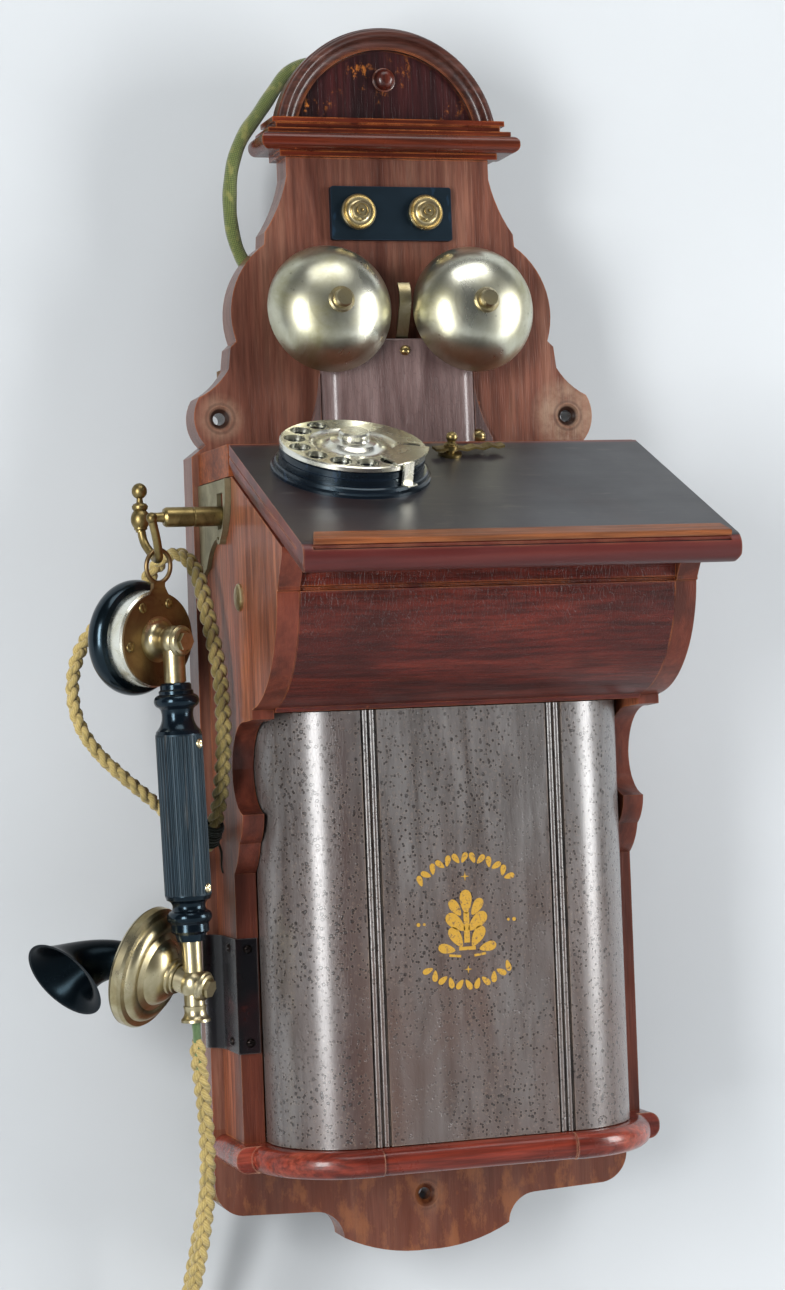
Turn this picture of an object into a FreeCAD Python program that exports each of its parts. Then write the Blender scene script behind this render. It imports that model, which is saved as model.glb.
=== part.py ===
import FreeCAD, Part
import math
import os
from FreeCAD import Vector

# Wall telephone with a sloping desk, two gongs, a dial and a hanging handset.
# Millimetres. +Z up, front faces -Y, wall plane y = 0, origin midway between the two ear screw holes.

# Driving dimensions
BATTEN_T = 12.0
BOARD_T = 20.0
BOARD_FRONT = -(BATTEN_T + BOARD_T)
EAR_HOLE_X = 105.0
SCREW_HOLE_R = 3.5
BOTTOM_HOLE_Z = -447.0
CASE_HALF = 117.0
PANEL_T = 12.0
PANEL_IN = CASE_HALF - PANEL_T
LID_SLOPE = 24.0
LID_T = 16.0
LID_HALF = 118.5
LID_REAR_Y = -100.0
LID_TOP_Z = -20.0
LID_LENGTH = 157.0
HINGE_Y = -99.9
HINGE_Z = -21.6
RAIL_H = 17.5
SHELF_TOP = -402.7
SHELF_T = 14.8
SHELF_ROUND = 6.6
DOOR_TOP = -166.8
DOOR_BOTTOM = -402.2
DOOR_HALF = 104.4
DOOR_FRONT = -126.0
DOOR_R = 46.0
DOOR_T = 8.0
BEADS_X = 53.0
ARCH_Z = 157.3
ARCH_R = 67.2
CORNICE_Z = 149.0
GONG_X = 43.0
GONG_Z = 60.3
GONG_R = 36.5
GONG_RIM_Y = -48.2
GONG_DEPTH = 24.0
GONG_TILT = 5.0
COVER_HALF = 45.5
COVER_FACE_Y = -45.0
POCKET_Y = -21.0
COIL_X = 14.0
COIL_Y = -32.5
CLAPPER_PIVOT_Z = 14.0
DIAL_X = -63.0
DIAL_DOWN = 47.6
SHAFT_Y = -107.8
SHAFT_Z = -103.6
GEAR_MODULE = 1.2
GEAR_TEETH = 50
PINION_TEETH = 10
ARMATURE_Z = SHAFT_Z - GEAR_MODULE * (GEAR_TEETH + PINION_TEETH) / 2
HOOK_PIVOT = Vector(-75.0, -81.0, -58.0)
STEM_X = -164.3
RING_C = Vector(-158.0, -93.0, -85.1)
UPPER_T = Vector(-153.0, -99.5, -125.4)
LOWER_T = Vector(-148.5, -99.5, -309.9)
RECEIVER_AXIS = Vector(-0.505, 0.859, 0.085).normalize()
MOUTHPIECE_AXIS = Vector(-0.696, 0.659, 0.284).normalize()
MOUTH_NORMAL = Vector(-0.720, -0.400, -0.567).normalize()
CAP_PROFILE = [(0, 4), (6.6, 4), (6.9, 5), (8.4, 5.4), (8.4, 6.6), (7.6, 7.4), (7.2, 8.3), (5.8, 9),
               (5.6, 8.4),
               (0, 8.4)]
CORD_R = 4.5
LINE_CORD_R = 4.0
X = Vector(1, 0, 0)
Y = Vector(0, 1, 0)
Z = Vector(0, 0, 1)


# Shape helpers
def box(x0, x1, y0, y1, z0, z1):
    return Part.makeBox(x1 - x0, y1 - y0, z1 - z0, Vector(x0, y0, z0))


def cyl(base, axis, r, h):
    return Part.makeCylinder(r, h, base, axis)


def path_edges(points, to_vector):
    """Edges through points; ("arc", mid, end) makes a three-point arc from the last point."""
    edges = []
    last = to_vector(points[0])
    for item in points[1:]:
        if item[0] == "arc":
            mid = to_vector(item[1])
            end = to_vector(item[2])
            edges.append(Part.Arc(last, mid, end).toShape())
        else:
            end = to_vector(item)
            edges.append(Part.LineSegment(last, end).toShape())
        last = end
    return edges


def face_of(points, to_vector):
    edges = path_edges(points, to_vector)
    first = edges[0].valueAt(edges[0].FirstParameter)
    last = edges[-1].valueAt(edges[-1].LastParameter)
    if first.distanceToPoint(last) > 1e-6:
        edges.append(Part.LineSegment(last, first).toShape())
    return Part.Face(Part.Wire(edges))


def slab_xz(points, y0, y1):
    """Outline in X and Z, extruded from y0 to y1."""
    return face_of(points, lambda p: Vector(p[0], y0, p[1])).extrude(Vector(0, y1 - y0, 0))


def slab_yz(points, x0, x1):
    return face_of(points, lambda p: Vector(x0, p[0], p[1])).extrude(Vector(x1 - x0, 0, 0))


def slab_xy(points, z0, z1):
    return face_of(points, lambda p: Vector(p[0], p[1], z0)).extrude(Vector(0, 0, z1 - z0))


def mirrored(points):
    """A half outline at positive x, from the top down, closed with its mirror image."""
    other = []
    last = points[-1][2] if points[-1][0] == "arc" else points[-1]
    for index in range(len(points) - 1, 0, -1):
        before = points[index - 1]
        start = before[2] if before[0] == "arc" else before
        item = points[index]
        if item[0] == "arc":
            other.append(("arc", (-item[1][0], item[1][1]), (-start[0], start[1])))
        else:
            other.append((-start[0], start[1]))
    joint = [] if abs(last[0]) < 1e-9 else [(-last[0], last[1])]
    return points + joint + other


def lathe(profile, base=Vector(0, 0, 0), axis=Z):
    """Profile of (radius, height) turned about axis through base."""
    face = face_of(profile, lambda p: Vector(p[0], 0, p[1]))
    solid = face.revolve(Vector(0, 0, 0), Z, 360)
    if solid.Volume < 0:
        shell = solid.Shells[0].copy()
        shell.reverse()
        solid = Part.Solid(shell)
    solid.Placement = FreeCAD.Placement(base, FreeCAD.Rotation(Z, axis))
    return solid


def ring(base, axis, r_out, r_in, h):
    return lathe([(r_in, 0), (r_out, 0), (r_out, h), (r_in, h)], base, axis)


def rounded_route(points):
    """A wire of straight runs joined by tangent arcs."""
    edges = []
    start = points[0]
    for index in range(1, len(points) - 1):
        here = points[index]
        back = points[index - 1] - here
        ahead = points[index + 1] - here
        shorter = min(back.Length, ahead.Length)
        a = Vector(back).normalize()
        b = Vector(ahead).normalize()
        turn = math.pi - a.getAngle(b)
        cut = 0.45 * shorter
        radius = cut / math.tan(turn / 2)
        first = here + a * cut
        second = here + b * cut
        inward = (a + b).normalize()
        middle = here + inward * (radius / math.cos(turn / 2) - radius)
        edges.append(Part.LineSegment(start, first).toShape())
        edges.append(Part.Arc(first, middle, second).toShape())
        start = second
    edges.append(Part.LineSegment(start, points[-1]).toShape())
    return Part.Wire(edges)


def tube(points, r):
    points = [Vector(*p) for p in points]
    tangent = (points[1] - points[0]).normalize()
    circle = Part.Wire(Part.Circle(points[0], tangent, r).toShape())
    return rounded_route(points).makePipeShell([circle], True, False)


def fuse(shapes):
    result = shapes[0].multiFuse(shapes[1:]) if len(shapes) > 1 else shapes[0]
    return result.removeSplitter()


def on_lid(shape):
    """Moves a shape made with z off the lid's top face and -y down its slope onto the lid."""
    place = FreeCAD.Placement(Vector(0, LID_REAR_Y, LID_TOP_Z), FreeCAD.Rotation(X, LID_SLOPE))
    moved = shape.copy()
    moved.Placement = place.multiply(shape.Placement)
    return moved


def both_sides(shape):
    return [shape, shape.mirror(Vector(0, 0, 0), X)]


def screw_head(base, axis, r, h, shank=6.0):
    """Round-headed screw: a low dome with a slot across it, and its shank below."""
    profile = [(0, -shank), (1.4, -shank), (1.4, 0), (r, 0), ("arc", (r * 0.72, h * 0.72), (0, h))]
    dome = lathe(profile, base, axis)
    across = Vector(0, 0, 1).cross(axis)
    if across.Length < 0.1:
        across = Vector(X)
    across.normalize()
    other = axis.cross(across).normalize()
    corner = base + axis * (h * 0.45) - across * (r + 1) - other * 0.4
    slot = Part.Face(Part.makePolygon([corner, corner + across * (2 * r + 2),
                                       corner + across * (2 * r + 2)
                                       + other * 0.8, corner + other * 0.8, corner]))
    return dome.cut(slot.extrude(axis * (h + 1)))


# Back board and the parts fixed to it
def back_board():
    half = [(0, CORNICE_Z), (61, CORNICE_Z), (61, 138), ("arc", (66.5, 121), (75, 106)), (75.5, 99),
            ("arc", (91.5, 80.5), (94, 43.8)), (97.5, 40.5), (99, 28.2),
            ("arc", (105, 20.5), (117, 12)), ("arc", (119.9, -3), (114, -15)), (122.5, -21.5),
            (124.3, -432), ("arc", (120.2, -443.5), (109, -449.6)), (66, -451.3),
            ("arc", (57.5, -454), (49.7, -467.5)), ("arc", (31, -475), (0, -478.6))]
    board = slab_xz(mirrored(half), -BATTEN_T, BOARD_FRONT)
    for x, z in ((-EAR_HOLE_X, 0), (EAR_HOLE_X, 0), (0, BOTTOM_HOLE_Z)):
        board = board.cut(cyl(Vector(x, 0, z), -Y, SCREW_HOLE_R, 60))
        sink = Part.makeCone(SCREW_HOLE_R, 7, 3.5, Vector(x, BOARD_FRONT + 3.5, z), -Y)
        board = board.cut(sink)
    return board.cut(box(-24, 24, BOARD_FRONT - 1, POCKET_Y, -18, 11))


def rear_battens():
    """Two uprights and a cross batten that keep the board off the wall."""
    uprights = [box(side * 88 - 10, side * 88 + 10, -BATTEN_T, 0, -440, 30) for side in (-1, 1)]
    return uprights + [box(-77.9, 77.9, -BATTEN_T, 0, -12, 12)]


def cornice():
    layers = [(65.4, -36, 149, 152.2, 0), (77.6, -43.7, 152.2, 162, 4.4), (73, -40.5, 162, 164.5, 0),
              (69.8, -38.6, 168, 171, 0)]
    shapes = []
    for half, front, low, high, rounding in layers:
        layer = box(-half, half, front, -BATTEN_T, low, high)
        if rounding:
            edges = []
            for edge in layer.Edges:
                box_of = edge.BoundBox
                on_rear = box_of.YMin > -BATTEN_T - 0.1
                if box_of.ZLength < 0.1 and not on_rear:
                    edges.append(edge)
            layer = layer.makeFillet(rounding, edges)
        shapes.append(layer)
    shapes.append(box(-67.5, 67.5, -37.2, -BATTEN_T, 164.5, 168))
    return fuse(shapes)


def arch_part(profile):
    """A profile of (radius, distance from the wall) turned about the arch's centre, above the cornice."""
    solid = lathe(profile, Vector(0, 0, ARCH_Z), -Y)
    return solid.common(box(-80, 80, -60, 0, 171, 240))


def pediment_arch():
    """Half-round crest moulding: outer fillet, ovolo, cove and an inner bead against the panel."""
    return arch_part([(54.8, 22.5), (ARCH_R, 22.5), (ARCH_R, 33), (ARCH_R - 0.9, 34),
                      ("arc", (64.4, 37.2), (61, 35.6)), ("arc", (59.2, 32.7), (56, 31.7)), (55.6, 32.3),
                      (54.8, 32.3)])


def pediment_panel():
    return arch_part([(0, 22.5), (54.6, 22.5), (54.6, 29.6), (0, 29.6)])


def pediment_button():
    profile = [(0, 0), (6.9, 0), (6.9, 0.6), (6.1, 1), (6.2, 1.8), ("arc", (4.5, 4.8), (0.5, 6)), (0, 6)]
    return lathe(profile, Vector(0, -29.6, 195), -Y)


def terminal_plate():
    plate = box(-36.25, 36.25, BOARD_FRONT - 4, BOARD_FRONT, 101.5, 132.3)
    corners = [edge for edge in plate.Edges if edge.BoundBox.YLength > 3.9]
    plate = plate.makeFillet(1.5, corners)
    for x in (-20.2, 20.2):
        plate = plate.cut(cyl(Vector(x, 0, 117.5), -Y, 1.9, 60))
    return plate


def terminal_nuts():
    """Dished nuts with a stepped, drilled boss, each on its own stud through the plate."""
    profile = [(0, -3.9), (1.8, -3.9), (1.8, 0), (10.2, 0), (10.2, 1.8), (9.5, 2.6), ("arc", (7.4, 1.5),
                                                                                      (5.5, 2)),
               (5.5, 6.6), (4.8, 7.3), (3.9, 7.3), (3.6, 6.5), (2.6, 6.5), (2.3, 7.5), (1.1, 7.5),
               (0.9, 6.4), (0, 6.4)]
    return [lathe(profile, Vector(x, BOARD_FRONT - 4, 117.5), -Y) for x in (-20.2, 20.2)]


# Ringer: two gongs, their posts, the coils, the clapper and the cover
def gong_axis():
    tilt = math.radians(GONG_TILT)
    return Vector(0, -math.cos(tilt), math.sin(tilt))


def gong_base(side):
    return Vector(side * GONG_X, GONG_RIM_Y, GONG_Z)


def gongs():
    """Two cup gongs, each a full round dome of even thickness bored for its post."""
    profile = [(GONG_R - 1.65, 0), (GONG_R, 0), ("arc", (29.84, 12.71), (18, 20.79)),
               ("arc", (10, 23.03), (2.6, 23.94)), (2.6, 22.33), ("arc", (9.7, 21.46), (17.45, 19.28)),
               ("arc", (28.65, 11.65), (GONG_R - 1.65, 0))]
    return [lathe(profile, gong_base(side), gong_axis()) for side in (-1, 1)]


def gong_nuts():
    """Flanged round nuts that clamp the gongs to their posts."""
    profile = [(0, -4), (2.2, -4), (2.2, 0), (7.4, 0), (7.4, 1.2), (6.6, 1.9), (5.4, 2.1), (5.4, 5.8),
               (4.4, 7), (0, 7)]
    return [lathe(profile, gong_base(side) + gong_axis() * GONG_DEPTH, gong_axis()) for side in (-1, 1)]


def ringer_frame():
    """Yoke plate, the bar that holds the coils, the clapper pin, and the two leaning gong posts."""
    plate = box(-40, 40, -34, BOARD_FRONT, 11.5, 40)
    bridge = box(-3.5, 3.5, -34, BOARD_FRONT + 1, -16.5, 12)
    bar = box(-22, 22, -41, POCKET_Y - 1.5, -16.5, -13.5)
    pin = cyl(Vector(0, -42.4, CLAPPER_PIVOT_Z), Y, 1.5, 9)
    posts = []
    for side in (-1, 1):
        top = gong_base(side) + gong_axis() * (GONG_DEPTH - 2.1)
        foot = Vector(side * GONG_X, BOARD_FRONT - 0.7, GONG_Z + 0.4)
        length = top.distanceToPoint(foot)
        posts.append(lathe([(0, 0), (7, 0), (7, 2), (5, 3), (4.0, length), (0, length)], foot,
                           top - foot))
    return [fuse([plate, bridge, bar, pin])] + posts


def ringer_coils():
    profile = [(0, 0), (8, 0), (8, 1.2), (7, 1.4), (7, 17.2), (8, 17.4), (8, 18.6), (3, 18.6), (3, 20),
               (0, 20)]
    return [lathe(profile, Vector(side * COIL_X, COIL_Y, -13.4), Z) for side in (-1, 1)]


def clapper():
    """Bent nickel strap on a pin; its upper half bows forward between the gongs, its foot is the armature."""
    strip = [(-40.6, 13), (-40.6, 43), ("arc", (-46.5, 54), (-50.6, 63)), ("arc", (-50.6, 70),
                                                                           (-47.8, 75.4)),
             (-46.8, 74.8), ("arc", (-49.4, 69.6), (-49.4, 63.3)), ("arc", (-45.4, 54.6), (-39.4, 43.2)),
             (-39.4, 13)]
    wide = slab_yz(strip, -2, 5).common(box(-2, 5, -60, -30, 26, 80))
    stem = box(-1.6, 1.6, -40.6, -39.4, 16, 27)
    hub = cyl(Vector(0, -42, CLAPPER_PIVOT_Z), Y, 3.2, 4)
    armature = box(-20, 20, -41, -38.4, 9.4, 11.2)
    body = fuse([wide, stem, hub, armature])
    return body.cut(cyl(Vector(0, -44, CLAPPER_PIVOT_Z), Y, 1.55, 8))


def upright_edges(shape, y):
    """Long vertical edges of the shape that lie on the plane y."""
    found = []
    for edge in shape.Edges:
        bound = edge.BoundBox
        if abs(bound.YMax - y) < 0.1 and bound.ZLength > 50:
            found.append(edge)
    return found


def ringer_cover():
    outer = box(-COVER_HALF, COVER_HALF, COVER_FACE_Y, BOARD_FRONT, -19.9, 44)
    outer = outer.makeFillet(11, upright_edges(outer, COVER_FACE_Y))
    top = [edge for edge in outer.Edges
           if edge.BoundBox.ZMin > 43.9 and edge.BoundBox.YMax < COVER_FACE_Y + 0.1]
    outer = outer.makeFillet(1.5, top)
    inner = box(-COVER_HALF + 2.4, COVER_HALF - 2.4, COVER_FACE_Y + 1.6, BOARD_FRONT + 1, -21, 42.2)
    inner = inner.makeFillet(9.4, upright_edges(inner, COVER_FACE_Y + 1.6))
    slot = box(-10.5, 10, COVER_FACE_Y + 1.6, COVER_FACE_Y + 8.5, 41, 46)
    return outer.cut(inner).cut(slot)


def cover_wings():
    half = [(46.2, 25), ("arc", (49.3, 6), (57, -13)), (57, -19.9), (46.2, -19.9)]
    wing = slab_xz(half, BOARD_FRONT, BOARD_FRONT - 3)
    return both_sides(wing)


# Case: side panels, rail, desk front, floor, shelf
def side_panel_outline():
    """Side of the case from above: lid slope, top scroll and step, long curve, scrolled bracket below."""
    return [(-32, -37.8), (-99, -37.8), (-196, -81.2), (-196, -84), ("arc", (-190.4, -93.2), (-184.8, -101.2)),
            (-184.8, -103), (-182.9, -103.4), (-182.9, -104.6), ("arc", (-165.6, -143.5), (-128.1, -163.7)),
            (-124.3, -164.5), (-124.3, -169.5), (-108, -170.8), ("arc", (-84.5, -180), (-76.8, -197)),
            ("arc", (-81.3, -212.2), (-96.3, -221.2)), ("arc", (-93.5, -230.6), (-86.5, -237.5)),
            ("arc", (-81.5, -247), (-73, -254.5)), (-73, SHELF_TOP), (-32, SHELF_TOP)]


def side_panel(side):
    x0 = side * PANEL_IN
    panel = slab_yz(side_panel_outline(), x0, side * CASE_HALF)
    if side < 0:
        panel = panel.cut(box(-CASE_HALF - 1, -PANEL_IN + 1, -87.3, -74.7, -65.5, -45.5))
    hole = cyl(Vector(side * 100, SHAFT_Y, SHAFT_Z), X * side, 4.6, 20)
    return panel.cut(hole)


def top_rail():
    rail = box(-LID_HALF, LID_HALF, -98.6, BOARD_FRONT, LID_TOP_Z - RAIL_H, LID_TOP_Z)
    front = [edge for edge in rail.Edges
             if edge.BoundBox.YMax < -98.5 and edge.BoundBox.ZMin > LID_TOP_Z - 0.1]
    return rail.makeChamfer(2.2, front)


def desk_front_panel():
    """Curved panel below the lid, with a flat strip and groove along its top and a light bottom strip."""
    outline = [(-178, -74.5), (-184.2, -77.2), (-184.2, -101), (-181.8, -101.5), (-181.8, -102.8),
               (-183.4, -103.4), (-182.9, -104.6), ("arc", (-165.6, -143.5), (-128.1, -163.7)),
               (-126.2, -166.2), (-118, -166.2), ("arc", (-158.5, -138.5), (-174.5, -104)), (-174.5, -78)]
    return slab_yz(outline, -PANEL_IN + 0.1, PANEL_IN - 0.1)


def case_floor():
    return box(-PANEL_IN + 0.1, PANEL_IN - 0.1, -117.5, BOARD_FRONT, -166.2, -158.5)


def shelf_block(plan):
    """One length of the rounded moulding: a slab whose outer top and bottom edges are rounded over."""
    block = slab_xy(plan, SHELF_TOP - SHELF_T, SHELF_TOP)
    outer = []
    for edge in block.Edges:
        bound = edge.BoundBox
        inside = bound.YMax > BOARD_FRONT - 1 and bound.YLength < 1
        seam = bound.XLength < 0.1 and bound.XMax < 60
        if bound.ZLength < 0.1 and not inside and not seam:
            outer.append(edge)
    return block.makeFillet(SHELF_ROUND, outer)


def bottom_shelf():
    """Shelf under the cover: straight front, two bowed corner blocks and two short side returns."""
    front = box(-56, 56, -133.4, BOARD_FRONT, SHELF_TOP - SHELF_T, SHELF_TOP)
    long_edges = [edge for edge in front.Edges
                  if edge.BoundBox.YMax < -133.3 and edge.BoundBox.XLength > 100]
    front = front.makeFillet(SHELF_ROUND, long_edges)
    corner = shelf_block([(55.2, BOARD_FRONT), (115.7, BOARD_FRONT), (115.7, -84),
                          ("arc", (99.2, -119.6), (59.6, -135.5)), (55.2, -135.5)])
    side = box(100, 124.5, -84, BOARD_FRONT, SHELF_TOP - SHELF_T, SHELF_TOP)
    rim = [edge for edge in side.Edges if edge.BoundBox.XMin > 124.4 and edge.BoundBox.YLength > 50]
    side = side.makeFillet(SHELF_ROUND, rim)
    block = corner.fuse(side)
    return fuse([front, block, block.mirror(Vector(0, 0, 0), X)])


def battery_door():
    """Deep curved cover: a bent board with a pair of beads sunk in a channel at each side of its face."""
    arc_x = DOOR_HALF - DOOR_R
    arc_y = DOOR_FRONT + DOOR_R
    s = math.sqrt(0.5)
    r_in = DOOR_R - DOOR_T
    back = DOOR_FRONT + DOOR_T
    outer = [(0, DOOR_FRONT), (arc_x, DOOR_FRONT),
             ("arc", (arc_x + DOOR_R * s, arc_y - DOOR_R * s), (DOOR_HALF, arc_y)), (DOOR_HALF, -74)]
    inner = [(DOOR_HALF - DOOR_T, -74), (DOOR_HALF - DOOR_T, arc_y),
             ("arc", (arc_x + r_in * s, arc_y - r_in * s), (arc_x, back)), (0, back)]
    half = slab_xy(outer + inner, DOOR_BOTTOM, DOOR_TOP)
    height = DOOR_TOP - DOOR_BOTTOM
    half = half.cut(box(BEADS_X - 4.6, BEADS_X + 4.6, DOOR_FRONT - 1, DOOR_FRONT + 1.8, DOOR_BOTTOM - 1,
                        DOOR_TOP + 1))
    beads = [cyl(Vector(BEADS_X + offset, DOOR_FRONT + 1.9, DOOR_BOTTOM), Z, 1.75, height)
             for offset in (-2, 2)]
    half = fuse([half] + beads)
    return half.fuse(half.mirror(Vector(0, 0, 0), X)).removeSplitter()


def desk_lid():
    """Sloping lid with a half-round nosing and moulded sides, made flat and laid on its slope."""
    r = LID_T / 2
    outline = [(-1.5, 0), (-LID_LENGTH + r, 0), ("arc", (-LID_LENGTH, -r), (-LID_LENGTH + r, -LID_T)),
               (-7.8, -LID_T), (-2.6, -3.0)]
    lid = slab_yz(outline, -LID_HALF, LID_HALF)
    for side in (-1, 1):
        edge_x = side * LID_HALF
        lid = lid.cut(slab_xz([(edge_x, -9.5), (edge_x - side * 2.4, -LID_T), (edge_x, -LID_T)],
                              -LID_LENGTH - 1, 1))
        lid = lid.cut(slab_xz([(edge_x, -5.6), (edge_x - side * 0.9, -6.1), (edge_x, -6.6)],
                              -LID_LENGTH + 14, 1))
    lid = lid.cut(box(-PANEL_IN - 8, PANEL_IN + 8, -LID_LENGTH + 2.4, -LID_LENGTH + 4.2, -2.4, 1))
    return on_lid(lid)


def lid_lip():
    """Pencil stop near the lid's lower edge, with mitred ends."""
    outline = [(-PANEL_IN - 5, -156.3 + 14), (-PANEL_IN - 8, -156.3 + 3), (PANEL_IN + 8, -156.3 + 3),
               (PANEL_IN + 5, -156.3 + 14)]
    lip = slab_xy(outline, 0, 3)
    ends = [edge for edge in lip.Edges if edge.BoundBox.ZMin > 2.9 and edge.Length > 100]
    return on_lid(lip.makeFillet(1.2, ends))


def lid_hinges():
    """Butt hinges at the rear of the lid: a leaf under the lid, its knuckle, and the pin."""
    return [cyl(Vector(side * 70 - 15, HINGE_Y, HINGE_Z), X, 1.1, 30) for side in (-1, 1)]


# Hook switch
def hook_plate():
    x0 = -CASE_HALF
    outline = [(-32.4, -38.3), (-96.7, -38.3), ("arc", (-94, -57), (-83, -71)), ("arc", (-77, -73),
                                                                                 (-74.5, -69.5)),
               ("arc", (-60, -73.5), (-46.5, -85)), (-32.4, -91)]
    plate = slab_yz(outline, x0 - 2.6, x0 - 0.1)
    plate = plate.cut(box(x0 - 4, x0 + 1, -87.2, -74.8, -65.2, -45.4))
    rim = slab_yz([(-96.7, -38.3), ("arc", (-94, -57), (-83, -71)), ("arc", (-77, -73), (-74.5, -69.5)),
                   (-76.3, -69.2), ("arc", (-78, -70.9), (-81.8, -69.4)), ("arc", (-92.2, -56.2),
                                                                           (-94.7, -38.3))],
                  x0 - 3.6, x0 - 2.5)
    return plate.fuse(rim).removeSplitter()


def hook_bracket():
    """Bracket inside the left panel with two cheeks, the pivot pin, and the contact spring stack."""
    wall = box(-104.9, -102.4, -96, -66, -70, -40)
    wall = wall.cut(box(-106, -101, -87.4, -74.6, -65.6, -45.4))
    cheeks = [box(-102.4, -66, -92, -89.6, -66, -50), box(-102.4, -66, -72.4, -70, -66, -50)]
    frame = fuse([wall] + cheeks)
    pin = cyl(Vector(HOOK_PIVOT.x, -94, HOOK_PIVOT.z), Y, 2.5, 26)
    leaves = [box(-58, -50, -87 + 7 * i, -85.4 + 7 * i, -74, -44) for i in range(3)]
    block = box(-60, -48, -90, -68, -80, -74)
    return [frame.cut(pin), pin, fuse([block] + leaves)]


def switch_hook():
    """Lever bar on its pivot, round arm, turned finial and the forked-down prong."""
    bar = box(-112, -66, -86, -76, -62.5, -53.5)
    bar = bar.cut(cyl(Vector(HOOK_PIVOT.x, -95, HOOK_PIVOT.z), Y, 2.55, 30))
    arm = lathe([(0, 0), (4.6, 0), (4.6, 8), (5.45, 8.6), (5.45, 24.4), (5.2, 24.7),
                 (5.2, 25.3), (5.45, 25.6), (5.45, 40), (4.6, 41.4), (3, 41.6), (2.6, 44), (2.6, 53),
                 (0, 53)], Vector(-110, -81, -58), -X)
    z0 = -66.0
    finial = [(0, 0), (2.7, 0), (2.7, 1), (3.6, 1.6), (3.6, 2.6), ("arc", (5.2, 7.6), (3.4, 11.8)),
              (4.2, 12.8),
              (4.4, 14.3), (3.6, 15.4), (1.9, 16.2), (1.6, 18.4), ("arc", (4.2, 22.7), (0.5, 26.8)),
              (0, 26.8)]
    body = lathe(finial, Vector(STEM_X, -81, z0), Z)
    route = [(STEM_X, -81, -62), (-163.4, -82.2, -71.5), (-159.2, -89.6, -80.6), (-158.6, -99.0, -82.0),
             (-161.5, -107.0, -71.5), (-165, -111.5, -60)]
    prong = tube(route, 2.3)
    ball = Part.makeSphere(3, Vector(-165, -111.5, -60))
    return fuse([bar, arm, body, prong, ball])


def case_bushings():
    """Bearing cap and bearing bush of the magneto shaft, and the eyelets where the cords go in."""
    left = lathe([(0, 0), (7.5, 0), (7.5, 1.2), (6.5, 1.9), (0, 2.4)],
                 Vector(-CASE_HALF, SHAFT_Y, SHAFT_Z), -X)
    right = ring(Vector(CASE_HALF, SHAFT_Y, SHAFT_Z), X, 9, 4.05, 3)
    shapes = [left, right]
    for route, r, at_end in ((HANDSET_ROUTE, CORD_R, True), (LINE_ROUTE, LINE_CORD_R, True),
                             (LINE_ROUTE, LINE_CORD_R, False)):
        last = Vector(*route[-1 if at_end else 0])
        before = Vector(*route[-2 if at_end else 1])
        back = (before - last).normalize()
        shapes.append(ring(last, back, r + 1.3, r + 0.15, 4.5))
    return shapes


# Magneto and crank
def gear(teeth, pitch_r, x0, x1, centre, phase):
    """Spur gear with straight-flanked teeth, cut narrow enough to run with play."""
    m = GEAR_MODULE
    pitch = 2 * math.pi / teeth
    shape = [(-0.30, pitch_r - 1.35 * m), (-0.185, pitch_r), (-0.09, pitch_r + 0.85 * m),
             (0.09, pitch_r + 0.85 * m), (0.185, pitch_r), (0.30, pitch_r - 1.35 * m)]
    points = []
    for tooth in range(teeth):
        for offset, r in shape:
            angle = phase + (tooth + offset) * pitch
            points.append(Vector(x0, centre.y + r * math.cos(angle), centre.z + r * math.sin(angle)))
    points.append(points[0])
    return Part.Face(Part.makePolygon(points)).extrude(Vector(x1 - x0, 0, 0))


def drive_gear():
    centre = Vector(0, SHAFT_Y, SHAFT_Z)
    body = gear(GEAR_TEETH, GEAR_MODULE * GEAR_TEETH / 2, 42, 47, centre, -math.pi / 2)
    hub = cyl(Vector(36, SHAFT_Y, SHAFT_Z), X, 8, 12)
    body = body.fuse(hub)
    for i in range(5):
        angle = 2 * math.pi * i / 5
        hole = Vector(40, SHAFT_Y + 18.5 * math.cos(angle), SHAFT_Z + 18.5 * math.sin(angle))
        body = body.cut(cyl(hole, X, 6, 10))
    return body.cut(cyl(Vector(30, SHAFT_Y, SHAFT_Z), X, 4.0, 30))


def crank_shaft():
    return cyl(Vector(-104, SHAFT_Y, SHAFT_Z), X, 4.0, 233)


def crank_arm():
    """Flat arm pointing back towards the wall at rest, on the end of the shaft."""
    x0 = 122.0
    y1 = SHAFT_Y + 52
    hub = cyl(Vector(x0, SHAFT_Y, SHAFT_Z), X, 8, 7)
    bar = box(x0 + 1, x0 + 5, SHAFT_Y, y1, SHAFT_Z - 5, SHAFT_Z + 5)
    end = cyl(Vector(x0 + 1, y1, SHAFT_Z), X, 5.5, 4)
    pin = cyl(Vector(x0 + 5, y1, SHAFT_Z), X, 2.2, 30)
    head = cyl(Vector(x0 + 35, y1, SHAFT_Z), X, 4, 1.2)
    arm = fuse([hub, bar, end, pin, head])
    return arm.cut(cyl(Vector(x0 - 5, SHAFT_Y, SHAFT_Z), X, 4.0, 20))


def crank_knob():
    profile = [(2.26, 0), (7, 0), (8.6, 2.2), (6.6, 6), ("arc", (7, 16), (10, 22)),
               ("arc", (9.2, 27), (5, 28.8)), (2.26, 28.8)]
    return lathe(profile, Vector(127.6, SHAFT_Y + 52, SHAFT_Z), X)


def magneto_frame():
    """Base plate and two end plates with the shaft and armature bearings."""
    base = box(-52, 36, -130, -80, -158.4, -155.4)
    plates = [box(-49, -45, -132, -84, -155.4, -90), box(29, 33, -132, -84, -155.4, -90)]
    frame = fuse([base] + plates)
    frame = frame.cut(cyl(Vector(-60, SHAFT_Y, SHAFT_Z), X, 4.05, 120))
    return frame.cut(cyl(Vector(-60, SHAFT_Y, ARMATURE_Z), X, 3.05, 120))


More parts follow.
